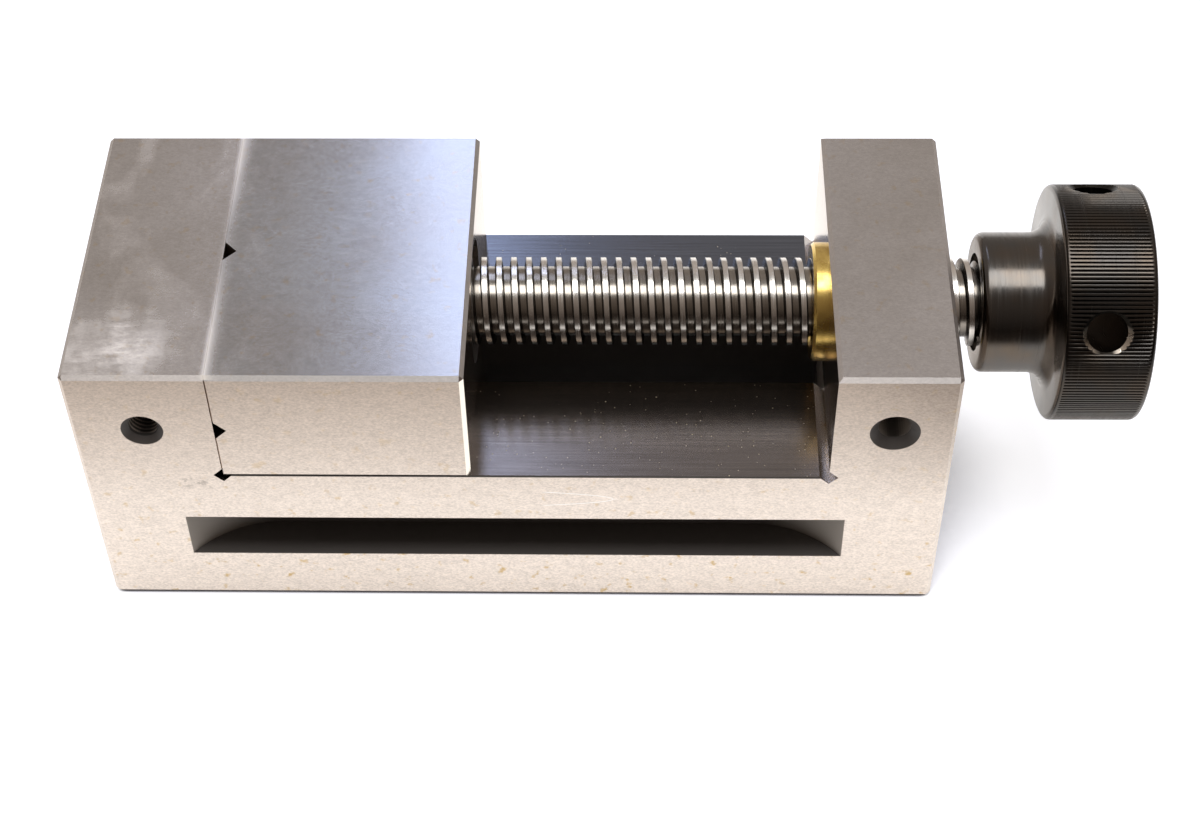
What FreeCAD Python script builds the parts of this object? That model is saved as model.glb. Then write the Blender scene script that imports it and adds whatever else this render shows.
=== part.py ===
import FreeCAD, Part
import math
import os
import Sketcher

from FreeCAD import Placement, Rotation, Vector

# Toolmakers vise, 73 mm wide: a ground block with a fixed jaw, a bed and a screw post,
# and a moving jaw that a screw and knob push along the bed. Millimetres.
# X runs from the fixed jaw to the knob, Y from front to back, Z up from the underside.
# Each piece is drawn with X from the left end of the block, Y from its middle plane,
# and its placement then sets the origin under the middle of the whole vise.

doc = FreeCAD.newDocument("toolmakers_vise")
sheet = doc.addObject("Spreadsheet::Sheet", "dims")

sizes = {
    # Block
    "body_length": 184.5,
    "body_width": 73.0,
    "bed_height": 42.0,
    "jaw_height": 31.0,
    "fixed_jaw_length": 30.0,
    "post_length": 25.4,
    "edge_chamfer": 0.9,
    "edge_break": 0.25,
    "corner_relief": 2.0,

    # Guide slot, its ledges and the keeper channel below them
    "slot_width": 19.0,
    "slot_inset": 2.5,
    "slot_overrun": 0.5,
    "ledge_height": 26.5,
    "channel_width": 31.0,
    "channel_inset": 6.0,
    "channel_overrun": 4.0,
    "channel_corner": 4.0,

    # Clamp grooves along both sides
    "groove_inset_left": 19.8,
    "groove_inset_right": 21.0,
    "groove_foot": 14.75,
    "groove_height": 12.9,
    "groove_depth": 9.0,
    "groove_cutter_diameter": 50.0,

    # Threaded side holes in the fixed jaw and in the post
    "side_hole_rise": 14.6,
    "stop_hole_diameter": 6.0,
    "stop_sink_diameter": 9.0,
    "stop_hole_depth": 16.0,
    "lock_hole_diameter": 6.8,
    "lock_sink_diameter": 10.6,

    # Moving jaw
    "jaw_length": 53.0,
    "vee_depth": 2.65,
    "tongue_inset": 5.0,
    "counterbore_diameter": 27.0,
    "counterbore_depth": 3.0,
    "pilot_depth": 27.0,
    "pad_seat_depth": 2.0,

    # Keeper plate and its screws
    "keeper_thickness": 12.0,
    "keeper_corner": 2.0,
    "keeper_screw_inset": 8.0,
    "keeper_screw_hole": 6.6,
    "keeper_tap_diameter": 5.0,
    "keeper_screw_reach": 16.0,
    "keeper_head_diameter": 10.0,
    "keeper_head_height": 6.0,
    "keeper_head_bore": 11.0,
    "keeper_head_sink": 6.5,
    "keeper_socket_flats": 5.0,
    "keeper_socket_depth": 3.0,

    # Lead screw, neck pins and thrust pad
    "screw_rise": 15.8,
    "thread_diameter": 19.05,
    "thread_inset": 2.6,
    "nose_diameter": 15.0,
    "nose_length": 20.5,
    "neck_diameter": 8.4,
    "neck_inset": 13.0,
    "neck_pin_diameter": 4.0,
    "neck_pin_rise": 7.5,
    "pad_diameter": 8.0,
    "pad_length": 8.0,
    "stub_diameter": 12.0,
    "screw_end_chamfer": 1.0,

    # Brass nut and its lock screws
    "nut_wall": 1.975,
    "nut_flange_rim": 1.4,
    "nut_flange_thickness": 3.3,
    "nut_flange_chamfer": 0.6,
    "nut_end_inset": 0.3,
    "lock_screw_length": 10.0,
    "lock_socket_flats": 4.0,
    "lock_socket_depth": 4.0,

    # Knob
    "knob_gap": 6.7,
    "knob_length": 34.3,
    "hub_diameter": 30.3,
    "hub_chamfer": 1.2,
    "hub_recess_rim": 1.1,
    "hub_recess_depth": 1.2,
    "hub_flare": 4.0,
    "disc_length": 19.0,
    "disc_diameter": 50.9,
    "disc_bevel": 0.9,
    "bar_hole_diameter": 8.5,
    "bar_sink_diameter": 10.5,
    "bar_hole_depth": 14.0,
    "bar_hole_inset": 10.2,
    "bar_hole_turn": 58.6,
    "knob_screw_diameter": 4.2,
    "knob_socket_flats": 2.5,
    "knob_socket_depth": 2.0,
    "knob_screw_sink": 0.4,

    # Clearances
    "closed_gap": 0.05,
    "slide_clearance": 0.05,
    "running_clearance": 0.05,
    "seat_clearance": 0.01,
}

for row, (name, value) in enumerate(sizes.items(), 1):
    sheet.set("A%d" % row, name)
    sheet.set("B%d" % row, str(value))
    sheet.setAlias("B%d" % row, name)
doc.recompute()

# Places that more than one piece uses
total_length = "(dims.body_length + dims.knob_gap + dims.knob_length)"
top_z = "(dims.bed_height + dims.jaw_height)"
half_width = "(dims.body_width / 2)"
post_face = "(dims.body_length - dims.post_length)"
side_hole_z = "(dims.bed_height + dims.side_hole_rise)"
stop_hole_x = "(dims.fixed_jaw_length / 2)"
lock_hole_x = "(dims.body_length - dims.post_length / 2)"
screw_z = "(dims.bed_height + dims.screw_rise)"
jaw_left = "(dims.fixed_jaw_length + dims.closed_gap)"
jaw_right = "(%s + dims.jaw_length)" % jaw_left
jaw_foot = "(dims.bed_height + dims.slide_clearance)"
tongue_left = "(%s + dims.tongue_inset)" % jaw_left
tongue_foot = "(dims.ledge_height - dims.slide_clearance)"
tongue_width = "(dims.slot_width - 2 * dims.slide_clearance)"
pilot_end = "(%s - dims.pilot_depth)" % jaw_right
keeper_foot = "(%s - dims.keeper_thickness)" % tongue_foot
head_seat = "(%s + dims.keeper_head_sink)" % keeper_foot
thread_left = "(%s - dims.thread_inset)" % jaw_right
nose_end = "(%s - dims.nose_length)" % thread_left
neck_x = "(%s - dims.neck_inset)" % jaw_right
neck_half = "(dims.neck_pin_diameter / 2 + dims.running_clearance)"
pin_y = "(dims.neck_diameter / 2 + dims.neck_pin_diameter / 2 + dims.running_clearance)"
pin_top = "(%s + dims.neck_pin_rise)" % screw_z
pad_left = "(%s - dims.pad_seat_depth + dims.seat_clearance)" % pilot_end
pad_right = "(%s + dims.pad_length)" % pad_left
pad_bore = "(dims.pad_diameter / 2 + dims.running_clearance)"
nut_body = "(dims.thread_diameter + 2 * dims.nut_wall)"
nut_flange = "(%s + 2 * dims.nut_flange_rim)" % nut_body
nut_tip = "(%s / 2 + dims.running_clearance)" % nut_body
hub_left = "(dims.body_length + dims.knob_gap)"
shoulder = "(%s + dims.hub_recess_depth)" % hub_left
disc_left = "(%s + dims.knob_length - dims.disc_length)" % hub_left
bar_hole_x = "(%s - dims.bar_hole_inset)" % total_length
bar_hole_foot = "(dims.disc_diameter / 2 - dims.bar_hole_depth)"


def amount(expression):
    value = sheet.evalExpression(str(expression))
    return float(getattr(value, "Value", value))


def bind(thing, field, expression):
    thing.setExpression(field, str(expression))


def seat(thing, label, height="0"):
    thing.Label = label
    bind(thing, "Placement.Base.x", "-%s / 2" % total_length)
    bind(thing, "Placement.Base.z", height)
    return thing


# Sketches whose corners and centres follow the sheet
def plane(body, role):
    return next(f for f in body.Origin.OriginFeatures if f.Role == role)


def sketch(body, name, role, offset=("0", "0", "0")):
    drawing = body.newObject("Sketcher::SketchObject", name)
    drawing.AttachmentSupport = [(plane(body, role), "")]
    drawing.MapMode = "FlatFace"
    drawing.AttachmentOffset = Placement(Vector(*[amount(o) for o in offset]), Rotation())
    for axis, distance in zip("xyz", offset):
        if distance != "0":
            bind(drawing, "AttachmentOffset.Base." + axis, distance)
    return drawing


def pin_point(drawing, index, end, across, up):
    for kind, axis, expression in (("DistanceX", -2, across), ("DistanceY", -1, up)):
        if expression == "0":
            drawing.addConstraint(Sketcher.Constraint("PointOnObject", index, end, axis))
            continue
        rule = Sketcher.Constraint(kind, -1, 1, index, end, amount(expression))
        number = drawing.addConstraint(rule)
        bind(drawing, "Constraints[%d]" % number, expression)


def arc_between(start, end, centre):
    # counterclockwise from start to end
    first = math.atan2(start.y - centre.y, start.x - centre.x)
    last = math.atan2(end.y - centre.y, end.x - centre.x)
    whole = Part.Circle(centre, Vector(0, 0, 1), start.distanceToPoint(centre))
    return Part.ArcOfCircle(whole, first, last)


def polygon(drawing, corners, centres=None):
    # a side is straight, unless centres has the centre of an arc for the corner it starts from
    centres = centres or {}
    points = [Vector(amount(a), amount(b), 0) for a, b in corners]
    count = len(points)
    first = drawing.GeometryCount
    for i in range(count):
        side = Part.LineSegment(points[i], points[(i + 1) % count])
        if i in centres:
            centre = Vector(amount(centres[i][0]), amount(centres[i][1]), 0)
            side = arc_between(points[i], points[(i + 1) % count], centre)
        drawing.addGeometry(side, False)
    for i in range(count):
        after = first + (i + 1) % count
        drawing.addConstraint(Sketcher.Constraint("Coincident", first + i, 2, after, 1))
    for i, (across, up) in enumerate(corners):
        pin_point(drawing, first + i, 1, across, up)
    for i, (across, up) in centres.items():
        rule = Sketcher.Constraint("DistanceX", -1, 1, first + i, 3, amount(across))
        number = drawing.addConstraint(rule)
        bind(drawing, "Constraints[%d]" % number, across)


def rectangle(drawing, left, right, low, high):
    polygon(drawing, [(left, low), (right, low), (right, high), (left, high)])


def circle(drawing, across, up, diameter):
    centre = Vector(amount(across), amount(up), 0)
    index = drawing.addGeometry(Part.Circle(centre, Vector(0, 0, 1), amount(diameter) / 2), False)
    rule = Sketcher.Constraint("Diameter", index, amount(diameter))
    number = drawing.addConstraint(rule)
    bind(drawing, "Constraints[%d]" % number, diameter)
    pin_point(drawing, index, 3, across, up)


# Features on those sketches
def new_body(name):
    return doc.addObject("PartDesign::Body", name)


def pad(body, name, drawing, length):
    feature = body.newObject("PartDesign::Pad", name)
    feature.Profile = drawing
    feature.Midplane = True
    bind(feature, "Length", length)
    return feature


def pocket(body, name, drawing, length, upward=False, both_ways=False):
    feature = body.newObject("PartDesign::Pocket", name)
    feature.Profile = drawing
    feature.Midplane = both_ways
    feature.Reversed = upward
    bind(feature, "Length", length)
    return feature


def turned(body, name, drawing, axis, cut=False):
    feature = body.newObject("PartDesign::Groove" if cut else "PartDesign::Revolution", name)
    feature.Profile = drawing
    feature.ReferenceAxis = (drawing, [axis])
    feature.Angle = 360
    return feature


def edges_where(feature, rule):
    names = []
    for number, edge in enumerate(feature.Shape.Edges, 1):
        if rule(edge, edge.CenterOfMass):
            names.append("Edge%d" % number)
    return names


def dress(body, kind, name, rule, amount_field, expression):
    doc.recompute()
    base = body.Tip
    feature = body.newObject("PartDesign::" + kind, name)
    feature.Base = (base, edges_where(base, rule))
    bind(feature, amount_field, expression)
    return feature


def near(a, b):
    return abs(a - b) < 0.001


def hex_cut(name, solid, flats, depth, place, turn):
    prism = doc.addObject("Part::Prism", name + "_hex")
    prism.Polygon = 6
    bind(prism, "Circumradius", "%s / sqrt(3)" % flats)
    bind(prism, "Height", "%s + 1" % depth)
    prism.Placement = Placement(Vector(0, 0, 0), turn)
    for axis, distance in zip("xyz", place):
        bind(prism, "Placement.Base." + axis, distance)
    cut = doc.addObject("Part::Cut", name)
    cut.Base = solid
    cut.Tool = prism
    return cut


def rod(name, diameter, length, place, turn=Rotation()):
    cylinder = doc.addObject("Part::Cylinder", name)
    bind(cylinder, "Radius", "%s / 2" % diameter)
    bind(cylinder, "Height", length)
    cylinder.Placement = Placement(Vector(0, 0, 0), turn)
    for axis, distance in zip("xyz", place):
        bind(cylinder, "Placement.Base." + axis, distance)
    return cylinder


def group(name, members):
    together = doc.addObject("Part::Compound", name)
    together.Links = members
    return seat(together, name)


# Block with fixed jaw, bed and screw post
def make_body():
    body = new_body("vise_body")
    seat(body, "vise_body")
    relief = "dims.corner_relief"
    jaw = "dims.fixed_jaw_length"
    bed = "dims.bed_height"

    # side outline, with a square relief groove in each foot of the jaws
    side = sketch(body, "side_outline", "XZ_Plane")
    polygon(side, [
        ("0", "0"),
        ("dims.body_length", "0"),
        ("dims.body_length", top_z),
        (post_face, top_z),
        (post_face, "%s + %s" % (bed, relief)),
        ("%s + %s" % (post_face, relief), bed),
        (post_face, "%s - %s" % (bed, relief)),
        ("%s - %s" % (post_face, relief), bed),
        ("%s + %s" % (jaw, relief), bed),
        (jaw, "%s - %s" % (bed, relief)),
        ("%s - %s" % (jaw, relief), bed),
        (jaw, "%s + %s" % (bed, relief)),
        (jaw, top_z),
        ("0", top_z),
    ])
    pad(body, "block", side, "dims.body_width")

    # bore for the nut, through the post
    bore = sketch(body, "nut_bore_circle", "YZ_Plane", ("0", "0", "dims.body_length"))
    circle(bore, "0", screw_z, "%s + 2 * dims.seat_clearance" % nut_body)
    pocket(body, "nut_bore", bore, "dims.post_length + dims.corner_relief")

    # narrow slot for the tongue, and the wide channel for the keeper plate below it
    slot = sketch(body, "slot_outline", "XY_Plane")
    slot_left = "%s + dims.slot_inset" % jaw
    slot_right = "%s + dims.slot_overrun" % post_face
    rectangle(slot, slot_left, slot_right, "-dims.slot_width / 2", "dims.slot_width / 2")
    pocket(body, "guide_slot", slot, bed, upward=True)
    channel = sketch(body, "channel_outline", "XY_Plane")
    channel_left = "%s - dims.channel_inset" % jaw
    channel_right = "%s + dims.channel_overrun" % post_face
    rectangle(channel, channel_left, channel_right, "-dims.channel_width / 2", "dims.channel_width / 2")
    pocket(body, "keeper_channel", channel, "dims.ledge_height", upward=True)

    def channel_corner(edge, middle):
        ends_x = near(middle.x, amount(channel_left)) or near(middle.x, amount(channel_right))
        on_side = near(abs(middle.y), amount("dims.channel_width / 2"))
        return ends_x and on_side and near(middle.z, amount("dims.ledge_height / 2"))

    dress(body, "Fillet", "channel_corners", channel_corner, "Radius", "dims.channel_corner")

    # clamp groove and threaded holes in the front, mirrored to the back; the groove's milling cutter
    # ran in and out on its own radius
    groove = sketch(body, "groove_outline", "XY_Plane", ("0", "0", "dims.groove_foot"))
    left = "dims.groove_inset_left"
    right = "(dims.body_length - dims.groove_inset_right)"
    face = "-%s" % half_width
    back = "(dims.groove_depth - %s)" % half_width
    run_out = "sqrt(dims.groove_depth * (dims.groove_cutter_diameter - dims.groove_depth))"
    middle = "%s - dims.groove_cutter_diameter / 2" % back
    polygon(groove, [
        (left, "%s - 1" % face),
        (right, "%s - 1" % face),
        (right, face),
        ("%s - %s" % (right, run_out), back),
        ("%s + %s" % (left, run_out), back),
        (left, face),
    ], {
        2: ("%s - %s" % (right, run_out), middle),
        4: ("%s + %s" % (left, run_out), middle),
    })
    clamp_groove = pocket(body, "clamp_groove", groove, "dims.groove_height", upward=True)

    def side_hole(name, across, drill, sink, foot, tip):
        drawing = sketch(body, name + "_profile", "XY_Plane", (across, "0", side_hole_z))
        polygon(drawing, [
            ("0", face),
            ("%s / 2" % sink, face),
            ("%s / 2" % drill, "%s + (%s - %s) / 2" % (face, sink, drill)),
            ("%s / 2" % drill, foot),
            ("0", "%s + %s" % (foot, tip)),
        ])
        return turned(body, name, drawing, "V_Axis", cut=True)

    stop_foot = "dims.stop_hole_depth - %s" % half_width
    stop = side_hole("stop_hole", stop_hole_x, "dims.stop_hole_diameter",
                     "dims.stop_sink_diameter", stop_foot, "dims.stop_hole_diameter * 0.3")
    lock_foot = "dims.lock_hole_diameter / 4 - %s / 2" % nut_body
    lock = side_hole("lock_hole", lock_hole_x, "dims.lock_hole_diameter",
                     "dims.lock_sink_diameter", lock_foot, "dims.slide_clearance")
    doc.recompute()
    mirror = body.newObject("PartDesign::Mirrored", "back_side")
    mirror.Originals = [clamp_groove, stop, lock]
    mirror.MirrorPlane = (plane(body, "XZ_Plane"), [""])
    body.Tip = mirror

    # small chamfers on the outer edges
    def outer_edge(edge, middle):
        if edge.Curve.TypeId != "Part::GeomLine":
            return False
        ends = near(middle.x, 0) or near(middle.x, amount("dims.body_length"))
        sides = near(abs(middle.y), amount(half_width))
        foot = near(middle.z, 0)
        top = near(middle.z, amount(top_z))
        post_top = top and near(middle.x, amount(post_face))
        return (ends and sides) or (foot and (ends or sides)) or (top and (ends or sides)) or post_top

    dress(body, "Chamfer", "edge_chamfers", outer_edge, "Size", "dims.edge_chamfer")
    return body


# Moving jaw with its tongue
def make_jaw():
    body = new_body("moving_jaw")
    seat(body, "moving_jaw")
    side = sketch(body, "jaw_outline", "XZ_Plane")
    rectangle(side, jaw_left, jaw_right, jaw_foot, top_z)
    pad(body, "jaw_block", side, "dims.body_width")
    stem = sketch(body, "tongue_outline", "XZ_Plane")
    rectangle(stem, tongue_left, jaw_right, tongue_foot, "%s + 1" % jaw_foot)
    pad(body, "tongue", stem, tongue_width)

    # crossed V grooves in the clamping face, for round work
    over = 1.0
    mouth = "%s - %s" % (jaw_left, over)
    reach = "(dims.vee_depth + %s)" % over
    foot = "%s + dims.vee_depth" % jaw_left
    level = sketch(body, "level_vee_outline", "XZ_Plane")
    polygon(level, [
        (mouth, "%s - %s" % (side_hole_z, reach)),
        (foot, side_hole_z),
        (mouth, "%s + %s" % (side_hole_z, reach)),
    ])
    pocket(body, "level_vee", level, "dims.body_width + 2", both_ways=True)
    upright = sketch(body, "upright_vee_outline", "XY_Plane")
    polygon(upright, [(mouth, "-%s" % reach), (foot, "0"), (mouth, reach)])
    pocket(body, "upright_vee", upright, "%s + 1" % top_z, upward=True)

    # stepped bore for the nose of the screw, its thrust pad and the nut's flange
    bore = sketch(body, "pilot_profile", "XZ_Plane", ("0", screw_z, "0"))
    pilot = "(dims.nose_diameter / 2 + dims.running_clearance)"
    step = "%s - dims.counterbore_depth" % jaw_right
    seat_end = "%s - dims.pad_seat_depth" % pilot_end
    polygon(bore, [
        ("%s + 1" % jaw_right, "0"),
        ("%s + 1" % jaw_right, "dims.counterbore_diameter / 2"),
        (step, "dims.counterbore_diameter / 2"),
        (step, pilot),
        (pilot_end, pilot),
        (pilot_end, pad_bore),
        (seat_end, pad_bore),
        (seat_end, "0"),
    ])
    turned(body, "pilot_bore", bore, "H_Axis", cut=True)

    # holes from below for the neck pins and the keeper screws
    pins = sketch(body, "pin_circles", "XY_Plane")
    for side_sign in ("", "-"):
        circle(pins, neck_x, side_sign + pin_y, "dims.neck_pin_diameter + 2 * dims.seat_clearance")
    pocket(body, "pin_holes", pins, "%s + 0.5" % pin_top, upward=True)
    taps = sketch(body, "tap_circles", "XY_Plane")
    for across in keeper_screw_places():
        circle(taps, across, "0", "dims.keeper_tap_diameter + 2 * dims.seat_clearance")
    tap_top = "%s + dims.keeper_screw_reach + 1" % head_seat
    pocket(body, "keeper_taps", taps, tap_top, upward=True)

    def outer_edge(edge, middle):
        if edge.Curve.TypeId != "Part::GeomLine":
            return False
        end = near(middle.x, amount(jaw_right))
        sides = near(abs(middle.y), amount(half_width))
        top = near(middle.z, amount(top_z))
        return (end and sides) or (top and (end or sides))

    dress(body, "Chamfer", "edge_chamfers", outer_edge, "Size", "dims.edge_chamfer")

    # the edges that meet the fixed jaw and the bed are only just broken
    def joint_edge(edge, middle):
        sides = near(abs(middle.y), amount(half_width))
        return sides and (near(middle.x, amount(jaw_left)) or near(middle.z, amount(jaw_foot)))

    dress(body, "Chamfer", "joint_edges", joint_edge, "Size", "dims.edge_break")
    return body


def keeper_screw_places():
    left = "%s + dims.keeper_screw_inset" % tongue_left
    right = "%s - dims.keeper_screw_inset" % jaw_right
    return [left, right]


# Keeper plate below the ledges
def make_keeper():
    body = new_body("keeper_plate")
    seat(body, "keeper_plate")
    width = "(dims.channel_width - 6 * dims.slide_clearance)"
    side = sketch(body, "plate_outline", "XZ_Plane")
    rectangle(side, tongue_left, jaw_right, keeper_foot, tongue_foot)
    pad(body, "plate", side, width)
    holes = sketch(body, "screw_circles", "XY_Plane")
    heads = sketch(body, "head_circles", "XY_Plane")
    for across in keeper_screw_places():
        circle(holes, across, "0", "dims.keeper_screw_hole")
        circle(heads, across, "0", "dims.keeper_head_bore")
    pocket(body, "screw_holes", holes, "%s + 1" % tongue_foot, upward=True)
    pocket(body, "head_bores", heads, head_seat, upward=True)

    def corner(edge, middle):
        ends = near(middle.x, amount(tongue_left)) or near(middle.x, amount(jaw_right))
        return ends and near(abs(middle.y), amount(width) / 2) and edge.Length > 1

    dress(body, "Fillet", "plate_corners", corner, "Radius", "dims.keeper_corner")
    return body


# Socket-head screws of the keeper plate
def make_keeper_screws():
    screws = []
    head_foot = "%s - dims.keeper_head_height - dims.seat_clearance" % head_seat
    for number, across in enumerate(keeper_screw_places(), 1):
        name = "keeper_screw_%d" % number
        head = rod(name + "_head", "dims.keeper_head_diameter", "dims.keeper_head_height",
                   (across, "0", head_foot))
        shank = rod(name + "_shank", "dims.keeper_tap_diameter",
                    "dims.keeper_head_height + dims.keeper_screw_reach", (across, "0", head_foot))
        whole = doc.addObject("Part::Fuse", name + "_blank")
        whole.Base = head
        whole.Tool = shank
        screws.append(hex_cut(name, whole, "dims.keeper_socket_flats", "dims.keeper_socket_depth",
                              (across, "0", "%s - 1" % head_foot), Rotation()))
    return group("keeper_screws", screws)


# Dowel pins astride the neck of the screw
def make_neck_pins():
    pins = []
    foot = "%s + dims.slide_clearance" % tongue_foot
    for number, sign in ((1, ""), (2, "-")):
        pins.append(rod("neck_pin_%d" % number, "dims.neck_pin_diameter",
                        "%s - %s" % (pin_top, foot), (neck_x, sign + pin_y, foot)))
    return group("neck_pins", pins)


# Hardened thrust pad between the screw and the foot of the pilot bore
def make_pad():
    body = new_body("thrust_pad")
    seat(body, "thrust_pad", screw_z)
    turn = sketch(body, "pad_profile", "XZ_Plane")
    rectangle(turn, pad_left, pad_right, "0", "dims.pad_diameter / 2")
    turned(body, "pad_turning", turn, "H_Axis")
    return body


# Lead screw: pad seat, nose, neck, threaded length and the stub in the knob
def make_screw():
    body = new_body("lead_screw")
    seat(body, "lead_screw", screw_z)
    turn = sketch(body, "screw_profile", "XZ_Plane")
    nose = "dims.nose_diameter / 2"
    neck = "dims.neck_diameter / 2"
    crest = "dims.thread_diameter / 2"
    stub = "dims.stub_diameter / 2"
    bevel = "dims.screw_end_chamfer"
    neck_left = "%s - %s" % (neck_x, neck_half)
    neck_right = "%s + %s" % (neck_x, neck_half)
    stub_left = "%s - dims.seat_clearance" % shoulder
    screw_end = "%s - dims.seat_clearance" % total_length
    pad_foot = "%s + dims.seat_clearance" % pad_right
    polygon(turn, [
        (pad_foot, "0"),
        (pad_foot, pad_bore),
        (nose_end, pad_bore),
        (nose_end, "%s - %s" % (nose, bevel)),
        ("%s + %s" % (nose_end, bevel), nose),
        (neck_left, nose),
        (neck_left, neck),
        (neck_right, neck),
        (neck_right, nose),
        (thread_left, nose),
        ("%s + (%s - %s)" % (thread_left, crest, nose), crest),
        (stub_left, crest),
        (stub_left, stub),
        ("%s - %s" % (screw_end, bevel), stub),
        (screw_end, "%s - %s" % (stub, bevel)),
        (screw_end, "0"),
    ])
    turned(body, "screw_turning", turn, "H_Axis")
    return body


# Flanged brass nut in the post
def make_nut():
    body = new_body("brass_nut")
    seat(body, "brass_nut", screw_z)
    turn = sketch(body, "nut_profile", "XZ_Plane")
    bore = "dims.thread_diameter / 2 + dims.running_clearance"
    flange = "%s / 2" % nut_flange
    barrel = "%s / 2" % nut_body
    bevel = "dims.nut_flange_chamfer"
    face = "%s - dims.nut_flange_thickness" % post_face
    back = "%s - dims.seat_clearance" % post_face
    end = "dims.body_length - dims.nut_end_inset"
    polygon(turn, [
        ("%s + %s" % (face, bevel), bore),
        (face, "%s + %s" % (bore, bevel)),
        (face, "%s - %s" % (flange, bevel)),
        ("%s + %s" % (face, bevel), flange),
        (back, flange),
        (back, barrel),
        ("%s - %s" % (end, bevel), barrel),
        (end, "%s - %s" % (barrel, bevel)),
        (end, bore),
    ])
    turned(body, "nut_turning", turn, "H_Axis")
    return body


# Set screws in the side holes of the post, seated on the nut
def make_lock_screws():
    screws = []
    for number, sign, side in ((1, "-", 1), (2, "", -1)):
        name = "nut_lock_screw_%d" % number
        turn = Rotation(Vector(1, 0, 0), 90 * side)
        inner = "%s%s" % (sign, nut_tip)
        outer = "%s(%s + dims.lock_screw_length - dims.lock_socket_depth)" % (sign, nut_tip)
        shank = rod(name + "_blank", "(dims.lock_hole_diameter - 2 * dims.seat_clearance)",
                    "dims.lock_screw_length", (lock_hole_x, inner, side_hole_z), turn)
        screws.append(hex_cut(name, shank, "dims.lock_socket_flats", "dims.lock_socket_depth",
                              (lock_hole_x, outer, side_hole_z), turn))
    return group("nut_lock_screws", screws)


# Knob: hub, flared into a disc with four radial holes for a tommy bar
def make_knob():
    body = new_body("knob")
    seat(body, "knob", screw_z)
    bore = "dims.stub_diameter / 2 + dims.seat_clearance"
    hub = "dims.hub_diameter / 2"
    disc = "dims.disc_diameter / 2"
    bevel = "dims.hub_chamfer"
    recess = "dims.thread_diameter / 2 + dims.hub_recess_rim"
    rim = "dims.disc_bevel"
    flare = "dims.hub_flare"
    turn = sketch(body, "knob_profile", "XZ_Plane")
    corners = [
        (shoulder, bore),
        (shoulder, recess),
        (hub_left, recess),
        (hub_left, "%s - %s" % (hub, bevel)),
        ("%s + %s" % (hub_left, bevel), hub),
    ]
    # the hub flares into the disc along a quarter circle, turned in steps
    for degrees in (0, 45, 90):
        across = "%s - %s * (1 - sin(%d deg))" % (disc_left, flare, degrees)
        out = "%s + %s * (1 - cos(%d deg))" % (hub, flare, degrees)
        corners.append((across, out))
    corners += [
        (disc_left, "%s - %s" % (disc, rim)),
        ("%s + %s" % (disc_left, rim), disc),
        ("%s - %s" % (total_length, rim), disc),
        (total_length, "%s - %s" % (disc, rim)),
        (total_length, bore),
    ]
    polygon(turn, corners)
    turned(body, "knob_turning", turn, "H_Axis")

    # one countersunk hole, repeated round the disc
    hole = "dims.bar_hole_diameter / 2"
    sink = "dims.bar_sink_diameter / 2"
    lip = "(%s - (%s - %s))" % (disc, sink, hole)
    drill = sketch(body, "bar_hole_profile", "XZ_Plane", (bar_hole_x, "0", "0"))
    polygon(drill, [
        ("0", bar_hole_foot),
        (hole, bar_hole_foot),
        (hole, lip),
        ("%s + 1" % sink, "%s + 1" % disc),
        ("0", "%s + 1" % disc),
    ])
    bar_hole = turned(body, "bar_hole", drill, "V_Axis", cut=True)
    doc.recompute()
    holes = body.newObject("PartDesign::PolarPattern", "bar_holes")
    holes.Originals = [bar_hole]
    holes.Axis = (plane(body, "X_Axis"), [""])
    holes.Angle = 360
    holes.Occurrences = 4
    body.Tip = holes

    # threaded hole for the set screw, from the foot of the first one to the stub
    tap = sketch(body, "set_screw_profile", "XZ_Plane", (bar_hole_x, "0", "0"))
    tap_radius = "dims.knob_screw_diameter / 2 + dims.seat_clearance"
    rectangle(tap, "0", tap_radius, "dims.stub_diameter / 4", "%s + 1" % bar_hole_foot)
    turned(body, "set_screw_hole", tap, "V_Axis", cut=True)
    body.Placement = Placement(body.Placement.Base, knob_turn())
    return body


def knob_turn():
    return Rotation(Vector(1, 0, 0), amount("dims.bar_hole_turn"))


def make_knob_screw():
    foot = "dims.stub_diameter / 2 + dims.running_clearance"
    head = "(%s - dims.knob_screw_sink)" % bar_hole_foot
    length = "(%s - (%s))" % (head, foot)
    blank = rod("knob_set_screw_blank", "dims.knob_screw_diameter", length, ("0", "0", foot))
    screw = hex_cut("knob_set_screw", blank, "dims.knob_socket_flats", "dims.knob_socket_depth",
                    ("0", "0", "%s - dims.knob_socket_depth" % head), Rotation())
    screw.Label = "knob_set_screw"
    screw.Placement = Placement(Vector(0, 0, 0), knob_turn())
    bind(screw, "Placement.Base.x", "%s - %s / 2" % (bar_hole_x, total_length))
    bind(screw, "Placement.Base.z", screw_z)
    return screw


pieces = [make_body(), make_jaw(), make_keeper(), make_keeper_screws(), make_neck_pins(), make_pad()]
pieces += [make_screw(), make_nut(), make_lock_screws(), make_knob(), make_knob_screw()]
doc.recompute()

# Nothing is written unless every object came out sound
for thing in doc.Objects:
    if "Invalid" in thing.State or "Error" in thing.State:
        raise RuntimeError("%s did not compute: %s" % (thing.Name, thing.State))
os.makedirs("parts", exist_ok=True)
for piece in pieces:
    shape = piece.Shape
    if shape.isNull() or not shape.isValid() or not shape.Solids:
        raise RuntimeError("%s has no sound shape" % piece.Label)
    if len(shape.Solids) == 1:
        shape = shape.Solids[0]
    shape.exportStep("parts/%s.step" % piece.Label)
    box = shape.BoundBox
    print("%-16s %d solids  volume %9.1f  x %.2f..%.2f  y %.2f..%.2f  z %.2f..%.2f" % (
        piece.Label, len(shape.Solids), shape.Volume,
        box.XMin, box.XMax, box.YMin, box.YMax, box.ZMin, box.ZMax))
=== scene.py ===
import bpy
import bmesh
import math
from functools import partial
from mathutils import Matrix, Vector


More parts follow.
